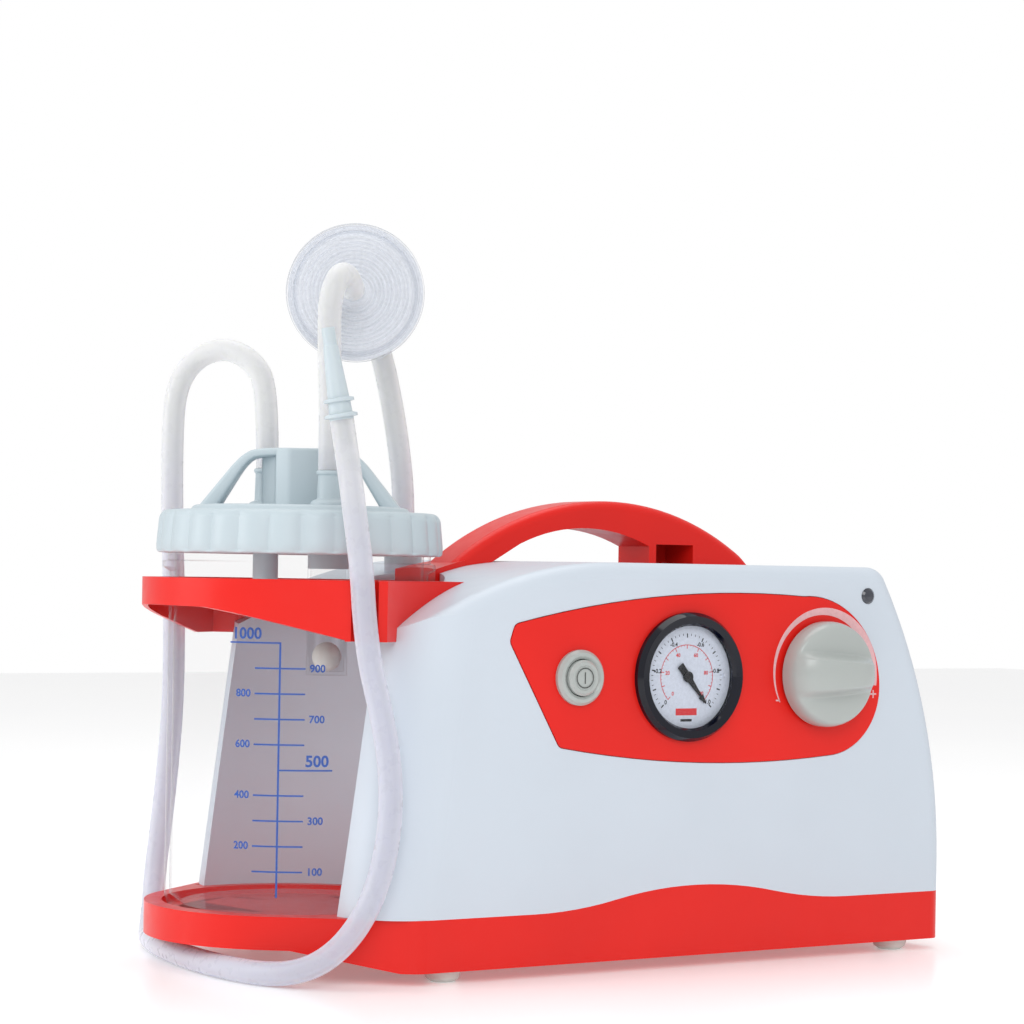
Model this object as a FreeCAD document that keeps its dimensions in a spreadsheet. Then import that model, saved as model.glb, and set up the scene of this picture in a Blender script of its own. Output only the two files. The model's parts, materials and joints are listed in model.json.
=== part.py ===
import FreeCAD, Part
import Sketcher
import math
import os
import re
from FreeCAD import Placement, Rotation, Vector

# A portable suction aspirator: a mains and battery vacuum pump in a moulded housing, with a
# one-litre collection jar that stands on the base and hangs in a ring, and silicone tubes.
# All sizes are millimetres.  Every piece is drawn about the jar's upright axis, with Z = 0 on
# the table, X to the right along the front face and Y towards the back.  One shift, the same
# for all pieces, then puts the origin under the middle of the machine.

SIZES = {
    # where the origin lies, measured from the jar's axis
    "origin_x": 111,
    "origin_y": -8.3,
    # housing
    "body_right": 290,
    "half_depth": 90,
    "body_top": 175,
    "base_bottom": 5,
    "wall": 2.6,
    "rim_round": 7,
    "corner_round": 10,
    "side_rise": 40,
    "side_sweep": 262,
    "slope_angle": 25.8,
    "slope_start_x": 30,
    "slope_start_z": 157.5,
    "left_foot_x": -16.4,
    "left_lean": 0.134,
    "left_round": 30,
    "recess_gap": 4,
    "seam_y": 0,
    # base tray
    "deck_z": 26.8,
    "wave_high": 35.6,
    "wave_x": 150,
    "wave_half": 84,
    "platform_r": 67.5,
    "base_r": 64.5,
    "nose_x": 10,
    "nose_round": 12,
    "lift_z": 13,
    "seat_depth": 4,
    "jar_clear": 1,
    # holder and handle
    "ring_top": 165.5,
    "ring_plate": 3,
    "ring_clear": 2.4,
    "skirt_left_z": 153.5,
    "skirt_right_z": 140.5,
    "clip_x": -11,
    "clip_y": -77.6,
    "clip_wall": 2.4,
    "clip_play": 0.8,
    "clip_mouth": 7.6,
    "handle_width": 25,
    "handle_top": 203,
    "handle_left_x": 62,
    "handle_right_x": 233,
    "handle_inner_top": 190.3,
    # jar and lid
    "jar_r": 56,
    "jar_wall": 2.2,
    "jar_top": 188,
    "flange_r": 59,
    "flange_z": 170,
    "lid_r": 62,
    "lid_bottom": 176,
    "lid_top": 194.5,
    "lid_wall": 2.4,
    "lid_turn": -32.4,
    "disc_r": 47,
    "disc_rise": 2.5,
    "strap_top": 222,
    "strap_reach": 44,
    "strap_thick": 4.6,
    "strap_width": 15,
    "block_left": -16.5,
    "block_right": 9.5,
    "block_front": -13,
    "block_back": 5,
    "patient_port_x": -17,
    "patient_port_y": 25,
    "vacuum_port_x": 14,
    "vacuum_port_y": -25,
    "port_r": 3.9,
    "patient_port_top": 214,
    "vacuum_port_top": 212,
    "cage_r": 8.7,
    "cage_bottom": 125,
    "ball_r": 6.2,
    "stem_r": 5.6,
    "stem_bottom": 160,
    # tubes and filter
    "tube_r": 5,
    "bore_r": 3,
    "spigot_play": 0.4,
    "nose_long": 4,
    "filter_x": 22,
    "filter_y": 2,
    "filter_z": 290,
    "filter_r": 30,
    "filter_half": 5.5,
    "filter_wall": 1.6,
    "nozzle_reach": 16,
    "fitting_long": 38,
    "inlet_x": 68,
    "inlet_y": 28,
    "inlet_top": 181,
    "boss_r": 8.5,
    # front controls
    "panel_gap": 0.3,
    "panel_proud": 0.4,
    "panel_round": 3.4,
    "panel_lip": 2.5,
    "gauge_x": 142.8,
    "control_z": 126,
    "bezel_r": 28,
    "bezel_proud": 4.6,
    "dial_r": 22.4,
    "case_r": 25,
    "case_depth": 26,
    "needle_long": 15.5,
    "button_x": 86.1,
    "switch_r": 11.8,
    "button_r": 7.6,
    "button_proud": 5,
    "knob_x": 216.8,
    "knob_z": 127,
    "knob_r": 23.5,
    "knob_proud": 19,
    "led_x": 242.7,
    "led_z": 162,
    "led_r": 3.6,
    # pump and electrics
    "pump_x": 118,
    "pump_y": -22,
    "shaft_z": 52,
    "motor_r": 21,
    "motor_long": 58,
    "crank_throw": 3,
    "cylinder_r": 11,
    "piston_gap": 0.05,
    "battery_x": 160,
    "battery_y": 6,
    "battery_long": 90,
    "battery_wide": 70,
    "battery_high": 101,
    "post_left_x": 80,
    "post_inset": 28,
    "screw_r": 1.5,
    "screw_head_r": 2.9,
    "board_x": 80,
    "board_y": 22,
    "board_long": 72,
    "board_wide": 58,
    "foot_r": 8,
    "foot_inset_x": 22,
    "foot_inset_y": 11,
    "socket_x": 236,
    "socket_z": 48,
}

doc = FreeCAD.newDocument("suction_aspirator")
sheet = doc.addObject("Spreadsheet::Sheet", "Sizes")
for row, (alias, number) in enumerate(SIZES.items(), start=1):
    sheet.set("A%d" % row, alias)
    sheet.set("B%d" % row, str(number))
    sheet.setAlias("B%d" % row, alias)
doc.recompute()

UPRIGHT = Rotation()
FACING_FRONT = Rotation(Vector(1, 0, 0), 90)
FACING_BACK = Rotation(Vector(1, 0, 0), -90)
FACING_RIGHT = Rotation(Vector(0, 1, 0), 90)
FACING_DOWN = Rotation(Vector(1, 0, 0), 180)
LONG = 600

pieces = []


# ---------------------------------------------------------------- small tools
def in_sheet(text):
    """The same expression with each size's name pointing at its cell in the sheet."""
    def named(match):
        word = match.group()
        return "Sizes." + word if word in SIZES else word

    return re.sub(r"[a-z_]+[a-z0-9_]*", named, str(text))


def size(text):
    """The number that an expression of sheet sizes comes to."""
    return float(sheet.evalExpression(in_sheet(text)))


def stand(obj, x="0", y="0", z="0", turn=UPRIGHT):
    """Place a piece at a point given from the jar's axis, with the origin shift taken off."""
    obj.Placement = Placement(Vector(0, 0, 0), turn)
    obj.setExpression("Placement.Base.x", in_sheet("(%s) - origin_x" % x))
    obj.setExpression("Placement.Base.y", in_sheet("(%s) - origin_y" % y))
    obj.setExpression("Placement.Base.z", in_sheet(z))


def keep(obj, name):
    obj.Label = name
    pieces.append(obj)
    return obj


def new_body(name, x="0", y="0", z="0", turn=UPRIGHT):
    body = doc.addObject("PartDesign::Body", name)
    stand(body, x, y, z, turn)
    return keep(body, name)


def origin_plane(body, role):
    return [plane for plane in body.Origin.OriginFeatures if plane.Role == role][0]


def outline(body, role, corners, offset=None):
    """A closed sketch of straight edges; each corner's two coordinates follow the sheet."""
    sketch = body.newObject("Sketcher::SketchObject", body.Name + "_outline")
    sketch.AttachmentSupport = [(origin_plane(body, role), "")]
    sketch.MapMode = "FlatFace"
    if offset is not None:
        sketch.setExpression("AttachmentOffset.Base.z", in_sheet(offset))
    places = [(size(a), size(b)) for a, b in corners]
    count = len(places)
    ends = [Vector(a, b, 0) for a, b in places]
    sketch.addGeometry([Part.LineSegment(ends[i], ends[(i + 1) % count]) for i in range(count)], False)
    joins = [Sketcher.Constraint("Coincident", i, 2, (i + 1) % count, 1) for i in range(count)]
    sketch.addConstraint(joins)
    for i, (a, b) in enumerate(corners):
        for kind, text, number in (("DistanceX", a, places[i][0]), ("DistanceY", b, places[i][1])):
            index = sketch.addConstraint(Sketcher.Constraint(kind, -1, 1, i, 1, number))
            sketch.setExpression("Constraints[%d]" % index, in_sheet(text))
    return sketch


def circles(body, role, rings, offset=None):
    """A sketch of whole circles, each given as (across, up, radius)."""
    sketch = body.newObject("Sketcher::SketchObject", body.Name + "_circles")
    sketch.AttachmentSupport = [(origin_plane(body, role), "")]
    sketch.MapMode = "FlatFace"
    if offset is not None:
        sketch.setExpression("AttachmentOffset.Base.z", in_sheet(offset))
    for i, (a, b, radius) in enumerate(rings):
        sketch.addGeometry(Part.Circle(Vector(size(a), size(b), 0), Vector(0, 0, 1), size(radius)), False)
        for kind, text in (("DistanceX", a), ("DistanceY", b)):
            index = sketch.addConstraint(Sketcher.Constraint(kind, -1, 1, i, 3, size(text)))
            sketch.setExpression("Constraints[%d]" % index, in_sheet(text))
        index = sketch.addConstraint(Sketcher.Constraint("Radius", i, size(radius)))
        sketch.setExpression("Constraints[%d]" % index, in_sheet(radius))
    return sketch


def turn_profile(body, corners):
    """Revolve a profile of (radius, height) corners about the body's own upright axis."""
    sketch = outline(body, "XZ_Plane", corners)
    feature = body.newObject("PartDesign::Revolution", body.Name + "_turned")
    feature.Profile = sketch
    feature.ReferenceAxis = (sketch, ["V_Axis"])
    feature.Angle = 360
    return feature


def pad(body, sketch, length, kind="PartDesign::Pad", downward=False):
    feature = body.newObject(kind, body.Name + "_" + kind.split("::")[1].lower())
    feature.Profile = sketch
    feature.setExpression("Length", in_sheet(length))
    feature.Reversed = downward
    return feature


def round_edges(body, radius, chosen):
    """Fillet the edges of the body so far for which chosen(edge) is true."""
    doc.recompute()
    base = body.Tip
    names = ["Edge%d" % (i + 1) for i, edge in enumerate(base.Shape.Edges) if chosen(edge)]
    feature = body.newObject("PartDesign::Fillet", body.Name + "_round")
    feature.Base = (base, names)
    feature.setExpression("Radius", in_sheet(radius))
    return feature


def turned(name, corners, x="0", y="0", z="0", turn=UPRIGHT):
    body = new_body(name, x, y, z, turn)
    turn_profile(body, corners)
    return body


def settled(shape):
    """The same shape with its turn and shift worked into its geometry."""
    place = shape.Placement
    loose = shape.copy()
    loose.Placement = Placement()
    return loose.transformed(place.toMatrix(), True)


def feature(name, shape):
    """A piece whose shape is worked out below from the sheet's sizes, about the jar's axis."""
    obj = doc.addObject("Part::Feature", name)
    obj.Shape = settled(shape)
    stand(obj)
    return keep(obj, name)


def prism(edges, base, height):
    """An upright prism on a closed chain of flat edges drawn at Z = 0."""
    face = Part.Face(Part.Wire(Part.__sortEdges__(edges)))
    face.translate(Vector(0, 0, base))
    return face.extrude(Vector(0, 0, height))


def cross_prism(edges, front, back):
    """A prism along Y on a closed chain of edges drawn in the XZ plane at Y = 0."""
    face = Part.Face(Part.Wire(Part.__sortEdges__(edges)))
    face.translate(Vector(0, front, 0))
    return face.extrude(Vector(0, back - front, 0))


def block(x0, y0, z0, x1, y1, z1):
    return Part.makeBox(x1 - x0, y1 - y0, z1 - z0, Vector(x0, y0, z0))


def rod(radius, start, end):
    along = end.sub(start)
    return Part.makeCylinder(radius, along.Length, start, along)


def polygon(points):
    return [Part.LineSegment(a, b).toShape() for a, b in zip(points, points[1:] + points[:1])]


def revolved(corners, place=Placement()):
    """A solid turned about Z from (radius, height) corners, for groups of like pieces."""
    ring = Part.Face(Part.Wire(polygon([Vector(r, 0, height) for r, height in corners])))
    solid = ring.revolve(Vector(0, 0, 0), Vector(0, 0, 1), 360)
    solid.Placement = place
    return solid


def lid_place(across, deep, height=0.0):
    """A point given in the lid's own turned frame, as a point about the jar's axis."""
    return Rotation(Vector(0, 0, 1), size("lid_turn")).multVec(Vector(across, deep, height))


# ---------------------------------------------------------------- housing forms
def slope_geometry(inset):
    """The top edge of the housing: a straight slope, one large arc tangent to it, a flat top."""
    angle = math.radians(size("slope_angle"))
    along = Vector(math.cos(angle), 0, math.sin(angle))
    foot = Vector(size("slope_start_x"), 0, size("slope_start_z"))
    reach = (size("body_top") - foot.z) / math.sin(angle)
    bend = reach / math.tan(angle / 2)
    end = Vector(foot.x + reach * math.cos(angle) + reach, 0, size("body_top"))
    centre = Vector(end.x, 0, end.z - bend)
    inner = bend - inset
    first = centre.add(Vector(-math.sin(angle), 0, math.cos(angle)).multiply(inner))
    middle = centre.add(Vector(-math.sin(angle / 2), 0, math.cos(angle / 2)).multiply(inner))
    last = centre.add(Vector(0, 0, inner))
    far = first.sub(Vector(along).multiply(110))
    return far, first, middle, last


def side_geometry(inset):
    """The right side: upright to side_rise, then one arc that leans in to the top."""
    radius = size("side_sweep") - inset
    right = size("body_right") - inset
    rise = size("side_rise")
    top = size("body_top") - inset
    centre = Vector(right - radius, 0, rise)
    angle = math.asin((top - rise) / radius)
    low = Vector(right, 0, rise)
    middle = centre.add(Vector(radius * math.cos(angle / 2), 0, radius * math.sin(angle / 2)))
    high = centre.add(Vector(radius * math.cos(angle), 0, top - rise))
    return low, middle, high


def housing_block(inset, floor, rounded=True):
    """The outside of the white housing, moved inwards by inset, open at the floor given."""
    far, first, middle, last = slope_geometry(inset)
    low, side_middle, high = side_geometry(inset)
    start = Vector(far.x, 0, floor)
    end = Vector(low.x, 0, floor)
    edges = [
        Part.LineSegment(start, far).toShape(),
        Part.LineSegment(far, first).toShape(),
        Part.Arc(first, middle, last).toShape(),
        Part.LineSegment(last, high).toShape(),
        Part.Arc(high, side_middle, low).toShape(),
        Part.LineSegment(low, end).toShape(),
        Part.LineSegment(end, start).toShape(),
    ]
    half = size("half_depth") - inset
    solid = cross_prism(edges, -half, half)
    corner = [e for e in solid.Edges if near_line(e, high.x, high.z)]
    solid = solid.makeFillet(size("corner_round") - inset, corner)
    if rounded:
        rims = [e for e in solid.Edges if is_rim(e, half, far.x, floor)]
        solid = solid.makeFillet(size("rim_round") - inset, rims)
    solid = solid.cut(left_end_waste(inset))
    recess = Part.makeCylinder(recess_r() + inset, LONG, Vector(0, 0, -LONG / 2))
    return solid.cut(recess)


def near_line(edge, x, z):
    box = edge.BoundBox
    return abs(box.XMin - x) + abs(box.XMax - x) + abs(box.ZMin - z) + abs(box.ZMax - z) < 0.01


def is_rim(edge, half, left, floor):
    """True on the front and back faces' edges along the top and the right side."""
    box = edge.BoundBox
    flat = abs(abs(box.YMin) - half) < 0.01 and abs(box.YMax - box.YMin) < 0.01
    past_ends = box.ZMax > floor + 12 and box.XMax > left + 12
    return flat and past_ends


def left_end_waste(inset):
    """What lies outside the housing's leaning left end and its two large upright corners."""
    left = size("left_foot_x") + inset
    half = size("half_depth") - inset
    radius = size("left_round") - inset
    lean = size("left_lean")
    cut = radius * (1 - math.sqrt(0.5))
    out = half + 20
    corner, end = left + radius, half - radius
    edges = polygon([Vector(left, end, 0), Vector(left, -end, 0)])[:1] + [
        Part.Arc(
            Vector(left, -end, 0), Vector(left + cut, -half + cut, 0), Vector(corner, -half, 0)
        ).toShape(),
        Part.LineSegment(Vector(corner, -half, 0), Vector(corner, -out, 0)).toShape(),
        Part.LineSegment(Vector(corner, -out, 0), Vector(-LONG, -out, 0)).toShape(),
        Part.LineSegment(Vector(-LONG, -out, 0), Vector(-LONG, out, 0)).toShape(),
        Part.LineSegment(Vector(-LONG, out, 0), Vector(corner, out, 0)).toShape(),
        Part.LineSegment(Vector(corner, out, 0), Vector(corner, half, 0)).toShape(),
        Part.Arc(Vector(corner, half, 0), Vector(left + cut, half - cut, 0), Vector(left, end, 0)).toShape(),
    ]
    below = 40
    face = Part.Face(Part.Wire(edges))
    face.translate(Vector(-lean * below, 0, -below))
    height = size("body_top") + 2 * below
    return face.extrude(Vector(lean * height, 0, height))


def recess_r():
    return size("flange_r + recess_gap")


def wave_solid(below, front=-200, back=200):
    """Everything under the wavy line where the red base meets the white housing."""
    low, high = size("deck_z"), size("wave_high")
    middle, half = size("wave_x"), size("wave_half")
    left, right = -LONG / 2, LONG
    quarter = (high + low) / 2
    edges = [
        Part.LineSegment(Vector(left, 0, low), Vector(middle - half, 0, low)).toShape(),
        wave_arc(middle - half, low, middle - half / 2, quarter),
        wave_arc(middle, high, middle - half / 2, quarter),
        wave_arc(middle, high, middle + half / 2, quarter),
        wave_arc(middle + half, low, middle + half / 2, quarter),
        Part.LineSegment(Vector(middle + half, 0, low), Vector(right, 0, low)).toShape(),
        Part.LineSegment(Vector(right, 0, low), Vector(right, 0, below)).toShape(),
        Part.LineSegment(Vector(right, 0, below), Vector(left, 0, below)).toShape(),
        Part.LineSegment(Vector(left, 0, below), Vector(left, 0, low)).toShape(),
    ]
    return cross_prism(edges, front, back)


def wave_arc(level_x, level_z, other_x, other_z):
    """An arc that is level at its first point and passes through its second."""
    run, rise = other_x - level_x, other_z - level_z
    radius = (run * run + rise * rise) / (2 * rise)
    centre_z = level_z + radius
    part = math.asin(run / abs(radius)) / 2
    side = -1 if radius > 0 else 1
    middle = Vector(level_x + abs(radius) * math.sin(part), 0, centre_z + side * abs(radius) * math.cos(part))
    return Part.Arc(Vector(level_x, 0, level_z), middle, Vector(other_x, 0, other_z)).toShape()


def tangent_angle(radius, x, y):
    """The angle on a circle about the jar where a line from the point (x, y) touches it."""
    return math.atan2(y, x) + math.copysign(math.acos(radius / math.hypot(x, y)), y)


def mirror(point):
    return Vector(point.x, -point.y, 0)


def base_plan(inset, nose_x, depth, right):
    """Plan of the base: a half round about the jar, joined by slanted lines to a box."""
    radius = size("base_r") - inset
    nose = Vector(nose_x + inset * 0.5, depth - inset, 0)
    angle = tangent_angle(radius, nose.x, nose.y)
    touch = Vector(radius * math.cos(angle), radius * math.sin(angle), 0)
    return [
        Part.Arc(touch, Vector(-radius, 0, 0), mirror(touch)).toShape(),
        Part.LineSegment(mirror(touch), mirror(nose)).toShape(),
        Part.LineSegment(mirror(nose), Vector(right - inset, -nose.y, 0)).toShape(),
        Part.LineSegment(Vector(right - inset, -nose.y, 0), Vector(right - inset, nose.y, 0)).toShape(),
        Part.LineSegment(Vector(right - inset, nose.y, 0), nose).toShape(),
        Part.LineSegment(nose, touch).toShape(),
    ]


def upright_edges(solid, low, high):
    """The upright edges that stand between two places along the body."""
    chosen = []
    for edge in solid.Edges:
        box = edge.BoundBox
        straight = box.XLength < 0.01 and box.YLength < 0.01
        if straight and low < box.XMin < high:
            chosen.append(edge)
    return chosen


def base_prism(inset, low, high):
    right = size("body_right")
    solid = prism(base_plan(inset, size("nose_x"), size("half_depth"), right), low, high - low)
    nose = upright_edges(solid, 0, right / 2)
    solid = solid.makeFillet(size("nose_round") - inset / 2, nose)
    corners = upright_edges(solid, right - inset - 1, LONG)
    return solid.makeFillet(size("rim_round") - inset, corners)


# ---------------------------------------------------------------- housing pieces
def make_base_tray():
    """Red base: a tray under the housing and a raised round platform that holds the jar."""
    wall = size("wall")
    low, deck = size("base_bottom"), size("deck_z")
    tray = base_prism(0, low, size("wave_high") + 10)
    above_deck = block(-LONG, -LONG, deck, LONG, LONG, LONG)
    outside = above_deck.cut(housing_block(0, low))
    tray = tray.cut(outside)
    tray = tray.common(wave_solid(0).fuse(block(-LONG, -LONG, 0, 0, LONG, deck)))
    lift = size("lift_z")
    undercut = [
        Vector(-LONG, 0, -1), Vector(-LONG, 0, lift), Vector(-32, 0, lift), Vector(4, 0, low),
        Vector(4, 0, -1),
    ]
    tray = tray.cut(cross_prism(polygon(undercut), -200, 200))
    ring = recess_r() + wall
    inside = base_prism(wall, low - 1, LONG / 2)
    hollow = inside.common(block(-LONG, -LONG, low + wall, LONG, LONG, LONG))
    hollow = hollow.cut(Part.makeCylinder(ring + wall, LONG, Vector(0, 0, 0)))
    hollow = hollow.cut(block(-LONG, -LONG, 0, size("left_foot_x"), LONG, LONG))
    tray = tray.cut(hollow)
    seat = deck - size("seat_depth")
    under = inside.common(Part.makeCylinder(ring, deck - wall, Vector(0, 0, 0)))
    under = under.cut(Part.makeCylinder(size("jar_r") + 4, deck, Vector(0, 0, seat - wall)))
    tray = tray.cut(under)
    seat_hole = Part.makeCylinder(size("jar_r + jar_clear"), deck, Vector(0, 0, seat))
    tray = tray.cut(seat_hole)
    for x, y in foot_places():
        tray = tray.cut(Part.makeCylinder(size("screw_r"), 30, Vector(x, y, 0)))
    return feature("base_tray", tray)


def foot_places():
    x0, x1 = size("foot_inset_x + 6"), size("body_right - foot_inset_x")
    y1 = size("half_depth - foot_inset_y")
    return [(x, y) for x in (x0, x1) for y in (-y1, y1)]


def post_places():
    """Where the upright posts join the two shells, as (x, z)."""
    left, right = size("post_left_x"), size("body_right - post_inset")
    return [(left, 62), (left, 162.5), (right, 62), (right - 24, 166)]


def make_shells():
    """White housing: a front and a back moulding that meet in a seam over the middle."""
    wall, seam = size("wall"), size("seam_y")
    low = size("base_bottom")
    floor = size("deck_z") - 12
    whole = housing_block(0, floor).cut(housing_block(wall, floor - 5))
    whole = whole.cut(wave_solid(low - 1))
    front = whole.common(block(-LONG, -LONG, 0, LONG, seam, LONG))
    back = whole.common(block(-LONG, seam, 0, LONG, LONG, LONG))
    half = size("half_depth")
    post, bore = size("screw_r + 2.6"), size("screw_r")
    sink = size("screw_head_r + 0.3")
    reach = 12
    for x, z in post_places():
        front = front.fuse(rod(post, Vector(x, -half + wall / 2, z), Vector(x, seam, z)))
        back = back.fuse(rod(post + 1, Vector(x, seam, z), Vector(x, half - wall / 2, z)))
    for x, z in post_places():
        front = front.cut(rod(bore, Vector(x, seam - 20, z), Vector(x, seam + 1, z)))
        back = back.cut(rod(bore, Vector(x, seam - 1, z), Vector(x, half + 1, z)))
        back = back.cut(rod(sink, Vector(x, seam + reach, z), Vector(x, half + 1, z)))
    front = front.cut(panel_solid(size("panel_gap"), -half - 5, -half + wall + 1))
    led = Vector(size("led_x"), -half - 1, size("led_z"))
    front = front.cut(rod(size("led_r"), led, led.add(Vector(0, 10, 0))))
    back = back.cut(vent_slots())
    socket = Vector(size("socket_x"), half + 1, size("socket_z"))
    back = back.cut(rod(6, socket, socket.sub(Vector(0, 10, 0))))
    inlet = Vector(size("inlet_x"), size("inlet_y"), size("inlet_top") - 20)
    boss = Part.makeCylinder(size("boss_r"), 12, inlet)
    back = back.fuse(boss).cut(Part.makeCylinder(5, 40, inlet.sub(Vector(0, 0, 5))))
    feature("front_shell", front)
    feature("rear_shell", back)


def vent_slots():
    """Air slots for the motor, a row of upright slits in the back of the housing."""
    half = size("half_depth")
    first = size("pump_x") + 8
    slots = []
    for i in range(9):
        x = first + 6 * i
        slots.append(block(x, half - 10, 60, x + 2.4, half + 1, 96))
    return slots[0].multiFuse(slots[1:])


def panel_outline(grow):
    """The control panel's rounded outline: four long arcs and a slanted left edge."""
    points = {
        "top_left": (54, 148.4), "top_mid": (110, 158.6), "top_right": (206, 161.3),
        "right_high": (238.6, 148.9), "right_mid": (250, 121), "right_low": (243.2, 101.4),
        "low_right": (222, 90.6), "low_mid": (150, 88.8), "low_left": (77, 96.6),
        "left": (51.6, 141),
    }
    at = {key: Vector(x, 0, z) for key, (x, z) in points.items()}
    edges = [
        Part.Arc(at["top_left"], at["top_mid"], at["top_right"]).toShape(),
        Part.Arc(at["top_right"], at["right_high"], at["right_mid"]).toShape(),
        Part.Arc(at["right_mid"], at["right_low"], at["low_right"]).toShape(),
        Part.Arc(at["low_right"], at["low_mid"], at["low_left"]).toShape(),
        Part.LineSegment(at["low_left"], at["left"]).toShape(),
        Part.LineSegment(at["left"], at["top_left"]).toShape(),
    ]
    rounding = size("panel_round")
    return Part.Wire(edges).makeOffset2D(-rounding).makeOffset2D(rounding + grow)


def panel_solid(grow, front, back):
    face = Part.Face(panel_outline(grow))
    face.translate(Vector(0, front, 0))
    return face.extrude(Vector(0, back - front, 0))


def make_control_panel():
    """Red insert that carries the switch, the gauge and the suction knob."""
    face = -size("half_depth")
    proud = face - size("panel_proud")
    back = face + size("wall")
    panel = panel_solid(0, proud, back)
    panel = panel.fuse(panel_solid(size("panel_lip"), back, back + 2))
    holes = [
        (size("gauge_x"), size("control_z"), size("case_r + 0.2")),
        (size("button_x"), size("control_z"), size("switch_r - 1.6")),
        (size("knob_x"), size("knob_z"), 5.2),
    ]
    for x, z, radius in holes:
        panel = panel.cut(rod(radius, Vector(x, proud - 1, z), Vector(x, back + 3, z)))
    return feature("control_panel", panel)


def holder_plan(inset):
    """Plan of the jar holder: round at the jar, then straight and narrowing to the handle."""
    radius = size("platform_r") - inset
    shoulder = Vector(-2.5, 81.4, 0)
    root = Vector(52, 56, 0)
    tail = Vector(66, 12.5, 0)
    angle = tangent_angle(size("platform_r"), shoulder.x, shoulder.y)
    normal = Vector(math.cos(angle), math.sin(angle), 0)
    touch = Vector(normal).multiply(radius)
    shoulder = shoulder.sub(Vector(normal).multiply(inset))
    shoulder = shoulder.sub(Vector(normal.y, -normal.x, 0).multiply(inset * 0.6))
    root = root.sub(Vector(inset, inset, 0))
    bend = shoulder.add(root).multiply(0.5).sub(Vector(3, 4, 0))
    return [
        Part.Arc(touch, Vector(-radius, 0, 0), mirror(touch)).toShape(),
        Part.LineSegment(mirror(touch), mirror(shoulder)).toShape(),
        Part.Arc(mirror(shoulder), mirror(bend), mirror(root)).toShape(),
        Part.LineSegment(mirror(root), mirror(tail)).toShape(),
        Part.LineSegment(mirror(tail), tail).toShape(),
        Part.LineSegment(tail, root).toShape(),
        Part.Arc(root, bend, shoulder).toShape(),
        Part.LineSegment(shoulder, touch).toShape(),
    ]


def make_holder():
    """Red holder ring, its skirt, the tube clip and the carry handle, moulded in one."""
    wall = size("wall")
    top = size("ring_top")
    thick = size("ring_plate")
    left_z, right_z = size("skirt_left_z"), size("skirt_right_z")
    whole = prism(holder_plan(0), right_z - 20, top - right_z + 20)
    keep_above = [
        Vector(-90, 0, left_z + 1.4), Vector(-60, 0, left_z), Vector(-14, 0, right_z),
        Vector(90, 0, right_z), Vector(90, 0, 300), Vector(-90, 0, 300),
    ]
    skirt = whole.common(cross_prism(polygon(keep_above), -200, 200))
    inner = prism(holder_plan(wall), 0, top - thick)
    skirt = skirt.cut(inner)
    hole_r = size("jar_r + ring_clear")
    collar = Part.makeCylinder(hole_r + wall, 9, Vector(0, 0, top - 9))
    skirt = skirt.fuse(collar)
    clip = Vector(size("clip_x"), size("clip_y"), 0)
    inward = Vector(-clip.x, -clip.y, 0).normalize()
    bore = size("tube_r + clip_play")
    seat = clip.add(Vector(inward).multiply(0.5))
    barrel = Part.makeCylinder(bore + size("clip_wall"), top - right_z, Vector(seat.x, seat.y, right_z))
    skirt = skirt.fuse(barrel.common(prism(holder_plan(0), 0, LONG)))
    skirt = skirt.cut(Part.makeCylinder(bore, LONG, Vector(seat.x, seat.y, 0)))
    mouth = size("clip_mouth")
    slot = block(-mouth / 2, 0, 0, mouth / 2, 30, LONG)
    slot.Placement = Placement(seat, Rotation(Vector(0, 0, 1), math.degrees(math.atan2(inward.x, -inward.y))))
    skirt = skirt.cut(slot)
    skirt = skirt.cut(Part.makeCylinder(hole_r, LONG, Vector(0, 0, 0)))
    body = skirt.fuse([make_saddle(), make_handle_arch()])
    body = body.cut(housing_block(-0.05, 5))
    return feature("holder_and_handle", body.removeSplitter())


def make_saddle():
    """Thin seat over the top of the housing that joins the ring to the handle's left root."""
    over = housing_block(-2.4, 5, rounded=False)
    corners = [Vector(30, -25, 0), Vector(76, -13, 0), Vector(76, 13, 0), Vector(30, 25, 0)]
    region = prism(polygon(corners), 100, 200)
    return over.common(region)


def arch_arc(x0, z0, x1, z1, top):
    """An arc from one foot to another that rises to the height given between them."""
    middle = (x0 + x1) / 2
    return Part.Arc(Vector(x0, 0, z0), Vector(middle, 0, top), Vector(x1, 0, z1)).toShape()


def make_handle_arch():
    """Carry handle: one arched bar with a short front leg and a hollow right leg."""
    left, right = size("handle_left_x"), size("handle_right_x")
    width = size("handle_width") / 2
    top, inner = size("handle_top"), size("handle_inner_top")
    roof = size("body_top")
    foot = roof - 9
    outer = [
        arch_arc(left, foot, 228, 181, top),
        Part.LineSegment(Vector(228, 0, 181), Vector(right, 0, roof)).toShape(),
        Part.LineSegment(Vector(right, 0, roof), Vector(right, 0, foot)).toShape(),
        Part.LineSegment(Vector(right, 0, foot), Vector(176, 0, foot)).toShape(),
        Part.LineSegment(Vector(176, 0, foot), Vector(176, 0, 183)).toShape(),
        Part.Arc(Vector(176, 0, 183), Vector(148, 0, inner), Vector(105, 0, 182.7)).toShape(),
        Part.LineSegment(Vector(105, 0, 182.7), Vector(76, 0, foot)).toShape(),
        Part.LineSegment(Vector(76, 0, foot), Vector(left, 0, foot)).toShape(),
    ]
    bar = cross_prism(outer, -width, width)
    rims = [e for e in bar.Edges if abs(abs(e.BoundBox.YMin) - width) < 0.01 and e.BoundBox.YLength < 0.01
            and e.BoundBox.XLength > 100 and e.BoundBox.ZMax > top - 5]
    bar = bar.makeFillet(4, rims)
    pocket = block(180, -width - 1, foot - 1, 201, width - 3, 184)
    bar = bar.cut(pocket)
    grip = block(204, -width + 3, foot - 1, right - 4, width - 3, 178)
    return bar.cut(grip)


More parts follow.
